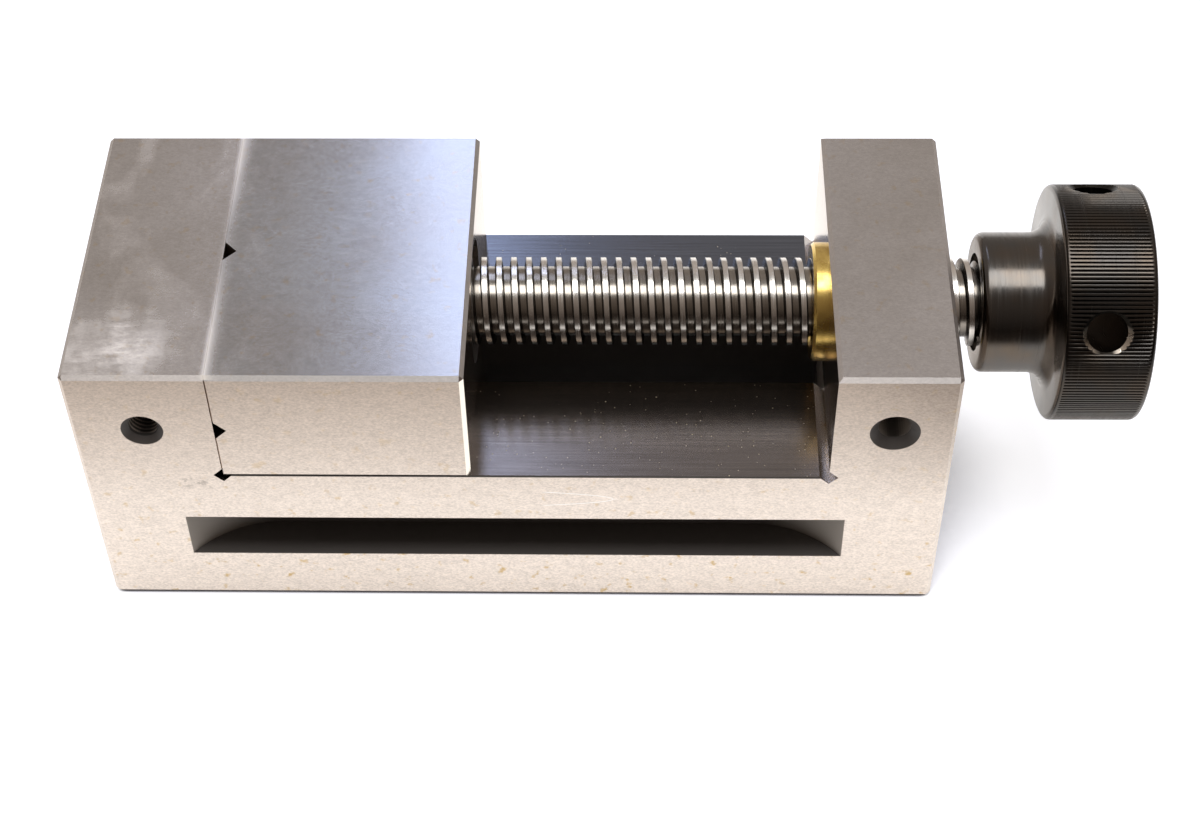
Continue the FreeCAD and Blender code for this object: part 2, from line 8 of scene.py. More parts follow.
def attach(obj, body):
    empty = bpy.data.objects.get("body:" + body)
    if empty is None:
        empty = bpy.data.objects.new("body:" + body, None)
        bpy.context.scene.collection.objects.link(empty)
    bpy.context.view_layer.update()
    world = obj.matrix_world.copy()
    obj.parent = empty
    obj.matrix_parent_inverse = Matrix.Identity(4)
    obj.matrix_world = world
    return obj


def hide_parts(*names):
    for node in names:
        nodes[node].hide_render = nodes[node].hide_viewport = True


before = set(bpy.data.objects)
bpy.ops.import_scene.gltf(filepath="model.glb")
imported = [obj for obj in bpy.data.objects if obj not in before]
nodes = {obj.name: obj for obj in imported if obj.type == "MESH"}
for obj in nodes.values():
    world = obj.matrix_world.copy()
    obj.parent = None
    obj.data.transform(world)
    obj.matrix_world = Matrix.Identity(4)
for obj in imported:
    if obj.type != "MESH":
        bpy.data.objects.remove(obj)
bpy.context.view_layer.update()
mm = 0.001
cos45 = 0.7071      # two parts of a unit normal at a 45 degree chamfer


def linear(hexColour):
    # sRGB hex to linear values
    parts = [int(hexColour[i:i + 2], 16) / 255 for i in (1, 3, 5)]
    return tuple(p / 12.92 if p <= 0.04045 else ((p + 0.055) / 1.055) ** 2.4 for p in parts) + (1.0,)


def plug(node, values):
    # fills inputs of a node: another node gives its first live output, a hex colour its linear values
    for key, value in values.items():
        if isinstance(value, bpy.types.Node):
            value = next(output for output in value.outputs if output.enabled)
        elif isinstance(value, str) and value.startswith("#"):
            value = linear(value)
        if isinstance(value, bpy.types.NodeSocket):
            node.id_data.links.new(value, node.inputs[key])
        else:
            node.inputs[key].default_value = value


def addNode(tree, kind, links=None, **settings):
    # adds one node with its settings, values and links
    prefix = "GeometryNode" if tree.bl_idname == "GeometryNodeTree" else "ShaderNode"
    node = tree.nodes.new(kind if "Node" in kind else prefix + kind)
    for key, value in settings.items():
        setattr(node, key, value)
    plug(node, links or {})
    return node


def newMaterial(name):
    # returns the material, addNode for its tree, and its shader
    material = bpy.data.materials.new(name)
    material.use_nodes = True
    material.node_tree.nodes.clear()
    add = partial(addNode, material.node_tree)
    shader = add("BsdfPrincipled")
    add("OutputMaterial", {"Surface": shader})
    return material, add, shader


def dress(node, material):
    # a CAD node keeps its shape and gets this material in every slot
    piece = nodes[node]
    piece.data.materials.clear()
    piece.data.materials.append(material)
    for face in piece.data.polygons:
        face.material_index = 0


# Places in the frame, in metres
places = {
    "bodyLeft": -112.75 * mm,
    "jointX": -82.72 * mm,
    "jawRight": -29.7 * mm,
    "postFace": 46.35 * mm,
    "halfWidth": 36.5 * mm,
    "bedTop": 42.0 * mm,
    "blockTop": 73.0 * mm,
    "topChamfer": 0.9 * mm,
    "sideHoleZ": 56.6 * mm,
    "screwZ": 57.8 * mm,
}


def insideBox(add, where, low, high, soft=0.2 * mm):
    # 1 inside a box of the object's coordinates, 0 outside
    middle = [(a + b) / 2 for a, b in zip(low, high)]
    half = [(b - a) / 2 for a, b in zip(low, high)]
    away = add("VectorMath", {0: where, 1: middle}, operation="SUBTRACT")
    size = add("VectorMath", {0: away}, operation="ABSOLUTE")
    out = add("VectorMath", {0: size, 1: half}, operation="SUBTRACT")
    x, y, z = add("SeparateXYZ", {0: out}).outputs
    yz = add("Math", {0: y, 1: z}, operation="MAXIMUM")
    far = add("Math", {0: x, 1: yz}, operation="MAXIMUM")
    return add("MapRange", {0: far, 1: -soft, 2: soft, 3: 1.0, 4: 0.0})


def fromScrewAxis(add, where):
    # the distance from the axis of screw, nut and knob
    centred = add("VectorMath", {0: where, 1: (0, 0, places["screwZ"])}, operation="SUBTRACT")
    flat = add("VectorMath", {0: centred, 1: (0, 1, 1)}, operation="MULTIPLY")
    return add("VectorMath", {0: flat}, operation="LENGTH")


# Hardened tool steel, surface ground: a grey metal with a close, sparkling grain, painted paler on the upright
# faces as painted light, handled until it is hazy, with wiped smudges on top and faint rust spots low down
groundSteel = {
    "top": "#d0cdcc",
    "jawTop": "#b9babc",
    "jawDull": "#b3b1b0",
    # painted light: the upright faces paler than the tops, and darker high up
    "upright": "#eadfd5",
    "uprightTopShade": "#c2b3a6",
    "dull": "#c6c2bf",
    "postTopShade": "#7d7066",
    "smudge": "#fffaf5",
    "glow": "#fbf6f0",
    "scratch": "#ffffff",
    "rubbedCornerSheen": "#fff8ec",
    "rust": "#c4a35c",
    # soot, also drawn as painted shade under the jaw and along the bed's front edge
    "sootAndShade": "#3d3833",
    # dull hardening skin, also dark as painted shade in the recesses
    "scaleAndShade": "#56524f",
    "sink": "#4d4845",
    "endWall": "#aaa39b",
    "bedFrontShade": "#837d7a",
    "bedBackReflection": "#70747d",
    "bedOil": "#857463",
    "grit": "#f2e4c0",
    "roughness": 0.29,
    "topPolish": 0.07,
    "grainSize": 0.40,       # mm, drawn a little coarser than the real 0.1
    "grainStretch": 0.6,
    "lineSize": 0.5,         # mm, drawn coarser than the real 0.1
    "cloudSize": 30.0,       # mm
    "smudgeSize": 11.0,      # mm
    "strokeSize": 3.0,       # mm
    "rustSize": 2.6,         # mm
    "gritSize": 1.1,         # mm
    "bumpHeight": 0.012,     # mm
    "chamferTilt": 0.41,     # share by which a stoned chamfer leans outward
    "holeThreadPitch": 1.0,  # mm, M6
}


def grooveArc(add, where):
    # the ends of the clamp grooves run out on a 25 mm cutter: their inward normal, and where it holds
    middleX, centreX, centreY, radius = -21.1 * mm, 52.75 * mm, 52.5 * mm, 25 * mm
    fromMiddle = add("VectorMath", {0: where, 1: (middleX, 0, 0)}, operation="SUBTRACT")
    size = add("VectorMath", {0: fromMiddle}, operation="ABSOLUTE")
    side = add("VectorMath", {0: fromMiddle}, operation="SIGN")
    inward = add("VectorMath", {0: (centreX, centreY, 0), 1: size}, operation="SUBTRACT")
    inward = add("VectorMath", {0: inward, 1: side}, operation="MULTIPLY")
    inward = add("VectorMath", {0: inward, 1: (1 / radius, 1 / radius, 0)}, operation="MULTIPLY")
    x, y, z = add("SeparateXYZ", {0: size}).outputs
    slope = add("SeparateXYZ", {0: add("NewGeometry").outputs["True Normal"]}).outputs[2]
    # along the run-out, between back wall and side, at the groove's height, on upright faces
    mask = add("Math", {0: x, 1: centreX + 9.6 * mm, 2: 9.62 * mm}, operation="COMPARE")
    for test in (add("Math", {0: y, 1: 27.3 * mm}, operation="GREATER_THAN"),
                 add("Math", {0: y, 1: 36.4 * mm}, operation="LESS_THAN"),
                 add("Math", {0: z, 1: 21.2 * mm, 2: 6.35 * mm}, operation="COMPARE"),
                 add("Math", {0: slope, 1: 0.0, 2: 0.3}, operation="COMPARE")):
        mask = add("Math", {0: mask, 1: test}, operation="MULTIPLY")
    return inward, mask


def groundSteelMaterial(name, pockets=(), block=False, seed=0.0, brightCorner=False):
    material, add, shader = newMaterial(name)
    s = groundSteel
    p = places
    where = add("TexCoord").outputs["Object"]
    along, across, up = add("SeparateXYZ", {0: where}).outputs
    trueNormal = add("NewGeometry").outputs["True Normal"]
    slopes = add("VectorMath", {0: trueNormal}, operation="ABSOLUTE")
    acrossFace, frontFace, level = add("SeparateXYZ", {0: slopes}).outputs
    moved = add("Mapping", {"Vector": where, "Location": (seed, seed, 0)})

    # close grain, a little drawn out along the block, over a softer mottle
    stretch = add("Mapping", {"Vector": moved, "Scale": (s["grainStretch"], 1.0, 1.0)})
    grain = add("TexNoise", {"Vector": stretch, "Scale": 1 / (s["grainSize"] * mm), "Detail": 3.0,
                             "Roughness": 0.75})
    mottle = add("TexNoise", {"Vector": stretch, "Scale": 0.25 / (s["grainSize"] * mm), "Detail": 5.0,
                              "Roughness": 0.65})
    speckle = add("Math", {0: mottle, 1: 0.45, 2: grain}, operation="MULTIPLY_ADD")
    drawn = add("Mapping", {"Vector": moved, "Scale": (0.02, 1, 1)})
    lines = add("TexNoise", {"Vector": drawn, "Scale": 1 / (s["lineSize"] * mm), "Detail": 2.0})

    # handling haze in broad clouds, and wiped smudges with streaky edges
    cloud = add("TexNoise", {"Vector": moved, "Scale": 1 / (s["cloudSize"] * mm), "Detail": 3.0,
                             "Roughness": 0.5, "Distortion": 0.3})
    haze = add("MapRange", {0: cloud, 1: 0.38, 2: 0.66, 3: 0.0, 4: 1.0})
    wiped = add("Mapping", {"Vector": moved, "Rotation": (0, 0, 0.9), "Scale": (1.0, 0.45, 1.0)})
    wipe = add("TexNoise", {"Vector": wiped, "Scale": 1 / (s["smudgeSize"] * mm), "Detail": 4.0,
                            "Roughness": 0.52, "Distortion": 0.9})
    smear = add("MapRange", {0: wipe, 1: 0.50, 2: 0.70, 3: 0.0, 4: 1.0})
    leftArea = add("MapRange", {0: along, 1: -66 * mm, 2: -96 * mm, 3: 0.0, 4: 0.32})
    smudge = add("Math", {0: smear, 1: leftArea}, operation="MULTIPLY")
    # the strongest one lies near the left front corner, with a ragged edge
    fromPatch = add("VectorMath", {0: where, 1: (-103 * mm, -29 * mm, 73 * mm)}, operation="SUBTRACT")
    fromPatch = add("VectorMath", {0: fromPatch}, operation="LENGTH")
    ragged = add("Math", {0: wipe, 1: -28 * mm, 2: fromPatch}, operation="MULTIPLY_ADD")
    patchArea = add("MapRange", {0: ragged, 1: -13 * mm, 2: 2 * mm, 3: 1.0, 4: 0.0},
                    interpolation_type="SMOOTHSTEP")
    rubbed = add("Mapping", {"Vector": moved, "Rotation": (0, 0, -0.7), "Scale": (0.35, 1.0, 1.0)})
    strokes = add("TexNoise", {"Vector": rubbed, "Scale": 1 / (s["strokeSize"] * mm), "Detail": 5.0,
                               "Roughness": 0.7, "Distortion": 0.4})
    stroke = add("MapRange", {0: strokes, 1: 0.34, 2: 0.62, 3: 0.35, 4: 1.05})
    patch = add("Math", {0: patchArea, 1: stroke}, operation="MULTIPLY")
    smudge = add("Math", {0: smudge, 1: patch}, operation="MAXIMUM")
    flat = add("MapRange", {0: level, 1: 0.9, 2: 1.0, 3: 0.0, 4: 1.0})
    smudge = add("Math", {0: smudge, 1: flat}, operation="MULTIPLY")

    # colour, with painted light: the upright faces are painted paler than the tops, and darker towards the top
    # of the block
    upright = add("MapRange", {0: level, 1: 0.45, 2: 0.80, 3: 1.0, 4: 0.0})
    clear, dull = (s["top"], s["dull"]) if block else (s["jawTop"], s["jawDull"])
    top = add("Mix", {0: haze, 6: clear, 7: dull}, data_type="RGBA")
    top = add("Mix", {0: smudge, 6: top, 7: s["smudge"]}, data_type="RGBA")
    high = add("MapRange", {0: up, 1: 34 * mm, 2: 74 * mm, 3: 0.0, 4: 1.0})
    side = add("Mix", {0: high, 6: s["upright"], 7: s["uprightTopShade"]}, data_type="RGBA")
    if block:
        # painted shade: the post's upper front corner is drawn the darkest
        postward = add("MapRange", {0: along, 1: 44 * mm, 2: 74 * mm, 3: 0.0, 4: 0.6})
        postward = add("Math", {0: postward, 1: high}, operation="MULTIPLY")
        side = add("Mix", {0: postward, 6: side, 7: s["postTopShade"]}, data_type="RGBA")
    colour = add("Mix", {0: upright, 6: top, 7: side}, data_type="RGBA")
    tone = add("MapRange", {0: speckle, 1: 0.50, 2: 0.95, 3: 0.76, 4: 1.12})
    share = add("MapRange", {0: upright, 1: 0.0, 2: 1.0, 3: 0.48, 4: 1.0})
    colour = add("Mix", {0: share, 6: colour, 7: tone}, data_type="RGBA", blend_type="MULTIPLY")

    # pale yellow rust spots, mostly low on the upright faces
    spots = add("TexNoise", {"Vector": moved, "Scale": 1 / (s["rustSize"] * mm), "Detail": 3.0})
    spot = add("MapRange", {0: spots, 1: 0.61, 2: 0.72, 3: 0.0, 4: 0.8})
    low = add("MapRange", {0: up, 1: 8 * mm, 2: 50 * mm, 3: 1.0, 4: 0.25})
    rust = add("Math", {0: spot, 1: low}, operation="MULTIPLY")
    colour = add("Mix", {0: rust, 6: colour, 7: s["rust"]}, data_type="RGBA")

    # a pale band along the joint on top, wider on the jaw's side and towards both ends
    joint = p["jointX"]
    glowRight = add("MapRange", {0: along, 1: joint, 2: joint + 4.2 * mm, 3: 1.0, 4: 0.0})
    glowLeft = add("MapRange", {0: along, 1: joint - 1.6 * mm, 2: joint, 3: 0.0, 4: 1.0})
    glow = add("Math", {0: glowRight, 1: glowLeft}, operation="MULTIPLY")
    glow = add("Math", {0: glow, 1: 3.0}, operation="POWER")
    fromMiddle = add("Math", {0: across, 1: 2 * mm}, operation="SUBTRACT")
    fromMiddle = add("Math", {0: fromMiddle}, operation="ABSOLUTE")
    outer = add("MapRange", {0: fromMiddle, 1: 4 * mm, 2: 26 * mm, 3: 0.35, 4: 1.0})
    onTop = add("Math", {0: up, 1: 72.3 * mm}, operation="GREATER_THAN")
    for mask in (outer, onTop):
        glow = add("Math", {0: glow, 1: mask}, operation="MULTIPLY")
    colour = add("Mix", {0: glow, 6: colour, 7: s["glow"]}, data_type="RGBA")

    # roughness: the fronts are duller, the tops, ends and working faces ground finer, smudges dull
    rough = add("MapRange", {0: speckle, 1: 0.5, 2: 0.95, 3: s["roughness"] - 0.01, 4: s["roughness"] + 0.02})
    for mask, change in ((frontFace, 0.12), (flat, -s["topPolish"]), (acrossFace, -0.10), (haze, -0.01),
                         (smudge, 0.24), (glow, 0.26)):
        rough = add("Math", {0: mask, 1: change, 2: rough}, operation="MULTIPLY_ADD")

    if block:
        # a sooty rub on the front, left of the jaw's foot
        rubArea = insideBox(add, where, (-91.5 * mm, -37 * mm, 38.4 * mm), (-86.5 * mm, -36 * mm, 40.2 * mm),
                            soft=1.2 * mm)
        rubNoise = add("TexNoise", {"Vector": where, "Scale": 1 / (1.0 * mm), "Detail": 5.0})
        rubEdge = add("MapRange", {0: rubNoise, 1: 0.50, 2: 0.64, 3: 0.0, 4: 0.6})
        rub = add("Math", {0: rubArea, 1: rubEdge}, operation="MULTIPLY")
        colour = add("Mix", {0: rub, 6: colour, 7: s["sootAndShade"]}, data_type="RGBA")

        # one hairpin scratch on the front, under the bed: a parabola that opens to the left
        tipX, axisZ, opening = 0.52 * mm, 34.5 * mm, 0.35 * mm
        opened = add("Math", {0: along, 1: -opening, 2: opening * tipX}, operation="MULTIPLY_ADD")
        opened = add("Math", {0: opened}, operation="SQRT")
        offLine = add("Math", {0: up, 1: axisZ}, operation="SUBTRACT")
        offLine = add("Math", {0: offLine}, operation="ABSOLUTE")
        offLine = add("Math", {0: offLine, 1: opened}, operation="SUBTRACT")
        offLine = add("Math", {0: offLine}, operation="ABSOLUTE")
        hair = add("MapRange", {0: offLine, 1: 0.05 * mm, 2: 0.16 * mm, 3: 1.0, 4: 0.0})
        hairArea = insideBox(add, where, (-14 * mm, -37 * mm, 32 * mm), (1 * mm, -36 * mm, 37.2 * mm),
                             soft=1 * mm)
        hair = add("Math", {0: hair, 1: hairArea}, operation="MULTIPLY")
        colour = add("Mix", {0: hair, 6: colour, 7: s["scratch"]}, data_type="RGBA")

        # painted shade: the lower edge of the block, by the table, is drawn dark
        foot = add("Math", {0: up, 1: 0.8 * mm}, operation="LESS_THAN")
        footShade = add("MapRange", {0: foot, 1: 0.0, 2: 1.0, 3: 1.0, 4: 0.4})
        colour = add("Mix", {0: 1.0, 6: colour, 7: footShade}, data_type="RGBA", blend_type="MULTIPLY")

        # the bed between the jaws is polished by the moving jaw, with grit lying on it; its colour is painted
        # shade and reflection, darker than the tops and bluish towards the back
        bedArea = insideBox(add, where, (p["bodyLeft"] + 28 * mm, -40 * mm, p["bedTop"] - 0.5 * mm),
                            (p["postFace"] + 3 * mm, 40 * mm, p["bedTop"] + 0.5 * mm))
        facingUp = add("SeparateXYZ", {0: trueNormal}).outputs[2]
        flatUp = add("MapRange", {0: facingUp, 1: 0.8, 2: 0.95, 3: 0.0, 4: 1.0})
        bedMask = add("Math", {0: bedArea, 1: flatUp}, operation="MULTIPLY")
        backward = add("MapRange", {0: across, 1: -20 * mm, 2: 20 * mm, 3: 0.0, 4: 1.0})
        bedColour = add("Mix", {0: backward, 6: s["bedFrontShade"], 7: s["bedBackReflection"]}, data_type="RGBA")
        # oil creeps out of the guide slot
        nearSlot = add("Math", {0: across}, operation="ABSOLUTE")
        oil = add("MapRange", {0: nearSlot, 1: 22 * mm, 2: 11 * mm, 3: 0.0, 4: 0.8})
        bedColour = add("Mix", {0: oil, 6: bedColour, 7: s["bedOil"]}, data_type="RGBA")
        bedTone = add("MapRange", {0: lines, 1: 0.3, 2: 0.7, 3: 0.80, 4: 1.12})
        bedColour = add("Mix", {0: 1.0, 6: bedColour, 7: bedTone}, data_type="RGBA", blend_type="MULTIPLY")
        colour = add("Mix", {0: bedMask, 6: colour, 7: bedColour}, data_type="RGBA")
        # each grain of grit has its own size, and they lie thicker to the front
        grit = add("TexVoronoi", {"Vector": where, "Scale": 1 / (s["gritSize"] * mm), "Randomness": 1.0})
        gritSize = add("SeparateXYZ", {0: grit.outputs["Color"]})
        gritEdge = add("Math", {0: gritSize, 1: 0.20}, operation="MULTIPLY")
        gritDot = add("MapRange", {0: grit, 1: 0.0, 2: gritEdge, 3: 1.0, 4: 0.0})
        drift = add("TexNoise", {"Vector": where, "Scale": 1 / (9 * mm), "Detail": 2.0})
        toFront = add("Math", {0: across, 1: -2.5, 2: drift}, operation="MULTIPLY_ADD")
        gritMask = add("MapRange", {0: toFront, 1: 0.46, 2: 0.60, 3: 0.0, 4: 0.85})
        for mask in (gritDot, bedMask):
            gritMask = add("Math", {0: gritMask, 1: mask}, operation="MULTIPLY")
        colour = add("Mix", {0: gritMask, 6: colour, 7: s["grit"]}, data_type="RGBA")
        for mask, change in ((bedMask, 0.01), (gritMask, 0.4)):
            rough = add("Math", {0: mask, 1: change, 2: rough}, operation="MULTIPLY_ADD")

    # pockets that were never ground keep a dull skin from hardening, which is no bare metal; the skin is also
    # painted shade: darker deep in the recesses and on back walls, lighter on end walls that face along the
    # block
    endWall = add("MapRange", {0: acrossFace, 1: 0.25, 2: 0.75, 3: 0.0, 4: 1.0})
    if block:
        # painted shade: on the run-out arcs the skin turns lighter as the wall faces along the block
        arc, onArc = grooveArc(add, where)
        lean = add("Math", {0: add("SeparateXYZ", {0: arc})}, operation="ABSOLUTE")
        arcTone = add("MapRange", {0: lean, 1: 0.1, 2: 0.8, 3: 0.0, 4: 1.0})
        endWall = add("Mix", {0: onArc, 2: endWall, 3: arcTone}, data_type="FLOAT")
    scaleAndShade = add("Mix", {0: endWall, 6: s["scaleAndShade"], 7: s["endWall"]}, data_type="RGBA")
    bare = None
    for lowCorner, highCorner, skin in pockets:
        dark = insideBox(add, where, lowCorner, highCorner, soft=0.02 * mm)
        skinColour = scaleAndShade if skin == "scaleAndShade" else s[skin]
        colour = add("Mix", {0: dark, 6: colour, 7: skinColour}, data_type="RGBA")
        rough = add("Math", {0: dark, 1: 0.2, 2: rough}, operation="MULTIPLY_ADD")
        left = add("Math", {0: 1.0, 1: dark}, operation="SUBTRACT")
        bare = left if bare is None else add("Math", {0: bare, 1: left}, operation="MINIMUM")

    height = add("Math", {0: lines, 1: 0.4, 2: grain}, operation="MULTIPLY_ADD")
    if block:
        # the stop holes carry an M6 thread, a helix about the hole's axis; its light and shade are painted into
        # the colour, dark and pale along the helix, besides a bump
        holeX, holeZ, reach = p["bodyLeft"] + 15 * mm, p["sideHoleZ"], 3.2 * mm
        inHole = insideBox(add, where, (holeX - reach, -35.2 * mm, holeZ - reach),
                           (holeX + reach, 35.2 * mm, holeZ + reach), soft=0.02 * mm)
        fromHoleX = add("Math", {0: along, 1: holeX}, operation="SUBTRACT")
        fromHoleZ = add("Math", {0: up, 1: holeZ}, operation="SUBTRACT")
        swing = add("Math", {0: fromHoleZ, 1: fromHoleX}, operation="ARCTAN2")
        turnsPerLength = 2 * math.pi / (s["holeThreadPitch"] * mm)
        climb = add("Math", {0: across, 1: turnsPerLength, 2: swing}, operation="MULTIPLY_ADD")
        helix = add("Math", {0: climb}, operation="SINE")
        helixShade = add("MapRange", {0: helix, 1: -0.4, 2: 0.8, 3: 0.25, 4: 1.5})
        holeThreadShade = add("Mix", {0: inHole, 2: 1.0, 3: helixShade}, data_type="FLOAT")
        colour = add("Mix", {0: 1.0, 6: colour, 7: holeThreadShade}, data_type="RGBA", blend_type="MULTIPLY")
        threadHeight = add("Math", {0: helix, 1: 12.0}, operation="MULTIPLY")
        height = add("Mix", {0: inHole, 2: height, 3: threadHeight}, data_type="FLOAT")
    bump = add("Bump", {"Height": height, "Strength": 0.35, "Distance": s["bumpHeight"] * mm})
    if block:
        bump = add("Mix", {0: onArc, 4: bump, 5: arc}, data_type="VECTOR")

    # the chamfers along the top are stoned a little round and soft
    isChamfer = add("Math", {0: level, 1: cos45, 2: 0.08}, operation="COMPARE")
    outward = add("VectorMath", {0: trueNormal, 1: (1, 1, 0)}, operation="MULTIPLY")
    outward = add("VectorMath", {0: outward}, operation="NORMALIZE")
    turned = add("Mix", {0: s["chamferTilt"], 4: (0, 0, 1), 5: outward}, data_type="VECTOR")
    chamferFoot = p["blockTop"] - p["topChamfer"] - 0.1 * mm
    atTop = add("Math", {0: up, 1: chamferFoot}, operation="GREATER_THAN")
    rounded = add("Math", {0: isChamfer, 1: atTop}, operation="MULTIPLY")
    rough = add("Math", {0: rounded, 1: 0.16, 2: rough}, operation="MULTIPLY_ADD")
    normal = add("Mix", {0: rounded, 4: bump, 5: turned}, data_type="VECTOR")
    if brightCorner:
        # the upright corner of the jaw is rubbed round, and painted paler as a painted highlight; its normals
        # turn so that it takes its light from in front
        cornerEdge = add("Math", {0: acrossFace, 1: cos45, 2: 0.1}, operation="COMPARE")
        for test in (add("Math", {0: level, 1: 0.2}, operation="LESS_THAN"),
                     add("Math", {0: along, 1: p["jawRight"] - 2 * mm}, operation="GREATER_THAN")):
            cornerEdge = add("Math", {0: cornerEdge, 1: test}, operation="MULTIPLY")
        colour = add("Mix", {0: cornerEdge, 6: colour, 7: s["rubbedCornerSheen"]}, data_type="RGBA")
        frontward = add("VectorMath", {0: trueNormal, 1: (0.35, 1, 1)}, operation="MULTIPLY")
        normal = add("Mix", {0: cornerEdge, 4: normal, 5: frontward}, data_type="VECTOR")
    normal = add("VectorMath", {0: normal}, operation="NORMALIZE")
    plug(shader, {"Base Color": colour, "Roughness": rough, "Normal": normal,
                  "Metallic": 1.0 if bare is None else bare})
    return material


def blockPockets():
    # clamp grooves, keeper channel and guide slot, then the side holes with their countersinks
    p = places
    w, x = p["halfWidth"], p["bodyLeft"]
    left, right = x + 19.7 * mm, x + 163.6 * mm
    found = [((left, -w + 0.1 * mm, 14.65 * mm), (right, -27 * mm, 27.75 * mm), "scaleAndShade"),
             ((left, 27 * mm, 14.65 * mm), (right, w - 0.1 * mm, 27.75 * mm), "scaleAndShade"),
             ((x + 23 * mm, -15.6 * mm, 0.3 * mm), (p["postFace"] + 4.2 * mm, 15.6 * mm, 26.6 * mm), "scaleAndShade"),
             ((x + 32 * mm, -9.6 * mm, 26 * mm), (p["postFace"] + 0.6 * mm, 9.6 * mm, 41.7 * mm), "scaleAndShade")]
    # painted shade along the front edge of the bed, whose chamfer is drawn dark
    found.append(((p["jointX"], -w - 0.1 * mm, p["bedTop"] - 0.3 * mm),
                  (p["postFace"] - 0.5 * mm, -w + 0.3 * mm, p["bedTop"] + 0.1 * mm), "sootAndShade"))
    for holeX, sinkDepth in ((x + 15 * mm, 1.52 * mm), (x + 171.8 * mm, 1.92 * mm)):
        for sign in (-1, 1):
            near, middle, far = sign * (w - 0.05 * mm), sign * (w - sinkDepth), sign * 9 * mm
            for a, b, skin in ((near, middle, "sink"), (middle, far, "scaleAndShade")):
                found.append(((holeX - 5.6 * mm, min(a, b), p["sideHoleZ"] - 5.7 * mm),
                              (holeX + 5.6 * mm, max(a, b), p["sideHoleZ"] + 5.7 * mm), skin))
    return found


def jawPockets():
    # painted shade in the joint under the jaw, a dark band along the front,
    p = places
    return [((p["jointX"], -p["halfWidth"] - 1 * mm, p["bedTop"] - 0.1 * mm),
             (p["jawRight"] + 0.1 * mm, -p["halfWidth"] + 0.6 * mm, p["bedTop"] + 0.42 * mm), "sootAndShade"),
            # and dark skin, with painted shade, in the bore for the screw
            ((p["jawRight"] - 4 * mm, -13 * mm, 44 * mm),
             (p["jawRight"] - 0.03 * mm, 13 * mm, 71.5 * mm), "scaleAndShade")]


# Turned bright steel of the screw: a clean silvery metal, with painted shade in the roots and on the flanks
brightSteel = {
    "crest": "#e6e1da",
    "root": "#9a938a",
    "flank": "#48443f",
    "roughness": 0.20,
    "markPitch": 0.25,       # mm
    "spotSize": 3,           # mm
}


def brightSteelMaterial(name):
    material, add, shader = newMaterial(name)
    s = brightSteel
    where = add("TexCoord").outputs["Object"]
    depth = add("MapRange", {0: fromScrewAxis(add, where), 1: 7.7 * mm, 2: 9.2 * mm, 3: 0.0, 4: 1.0})
    # painted shade: the roots, and the flanks, which face along the screw, are drawn darker than the crests
    normal = add("SeparateXYZ", {0: add("NewGeometry").outputs["Normal"]})
    lean = add("Math", {0: normal}, operation="ABSOLUTE")
    flank = add("MapRange", {0: lean, 1: 0.35, 2: 0.85, 3: 0.0, 4: 1.0})
    colour = add("Mix", {0: depth, 6: s["root"], 7: s["crest"]}, data_type="RGBA")
    colour = add("Mix", {0: flank, 6: colour, 7: s["flank"]}, data_type="RGBA")
    # painted shade: the underside of the screw is drawn darker
    undersideShade = add("MapRange", {0: normal.outputs[2], 1: 0.12, 2: -0.30, 3: 1.0, 4: 0.26})
    spots = add("TexNoise", {"Vector": where, "Scale": 1 / (s["spotSize"] * mm), "Detail": 4.0})
    tone = add("MapRange", {0: spots, 1: 0.35, 2: 0.7, 3: 1.0, 4: 0.82})
    for shade in (undersideShade, tone):
        colour = add("Mix", {0: 1.0, 6: colour, 7: shade}, data_type="RGBA", blend_type="MULTIPLY")
    marks = add("Mapping", {"Vector": where, "Scale": (1.0, 0.02, 0.02)})
    lines = add("TexNoise", {"Vector": marks, "Scale": 1 / (s["markPitch"] * mm), "Detail": 3.0})
    rough = add("MapRange", {0: lines, 1: 0.3, 2: 0.7, 3: s["roughness"] - 0.04, 4: s["roughness"] + 0.08})
    bump = add("Bump", {"Height": lines, "Strength": 0.2, "Distance": 0.01 * mm})
    plug(shader, {"Base Color": colour, "Roughness": rough, "Normal": bump, "Metallic": 1.0})
    return material


# Turned brass: warm yellow, with rings from the lathe and a little tarnish
turnedBrass = {
    "base": "#e6c673",
    "tarnish": "#a07a30",
    "roughness": 0.16,
    "ringPitch": 0.2,        # mm
    "stainSize": 4,          # mm
}


def brassMaterial(name):
    material, add, shader = newMaterial(name)
    s = turnedBrass
    where = add("TexCoord").outputs["Object"]
    spiral = add("Math", {0: fromScrewAxis(add, where), 1: add("SeparateXYZ", {0: where})}, operation="ADD")
    rings = add("Math", {0: spiral, 1: 2 * math.pi / (s["ringPitch"] * mm)}, operation="MULTIPLY")
    wave = add("Math", {0: rings}, operation="SINE")
    stain = add("TexNoise", {"Vector": where, "Scale": 1 / (s["stainSize"] * mm), "Detail": 4.0})
    mask = add("MapRange", {0: stain, 1: 0.52, 2: 0.72, 3: 0.0, 4: 0.6})
    colour = add("Mix", {0: mask, 6: s["base"], 7: s["tarnish"]}, data_type="RGBA")
    rough = add("MapRange", {0: stain, 1: 0.3, 2: 0.7, 3: s["roughness"], 4: s["roughness"] + 0.14})
    bump = add("Bump", {"Height": wave, "Strength": 0.15, "Distance": 0.01 * mm})
    plug(shader, {"Base Color": colour, "Roughness": rough, "Normal": bump, "Metallic": 1.0})
    return material


# Black oxide on turned steel: a brown-black satin skin, with dirt in the roots of the knurl
blackOxide = {
    "base": "#5b5855",
    "brown": "#635a51",
    "roughness": 0.19,
    "ringPitch": 0.35,       # mm
    "stainSize": 7,          # mm
    "fineSize": 0.4,         # mm
    "crestRadius": 25.38,    # mm, of the knurl
    "rootRadius": 25.20,
    "rimRadius": 25.08,
}


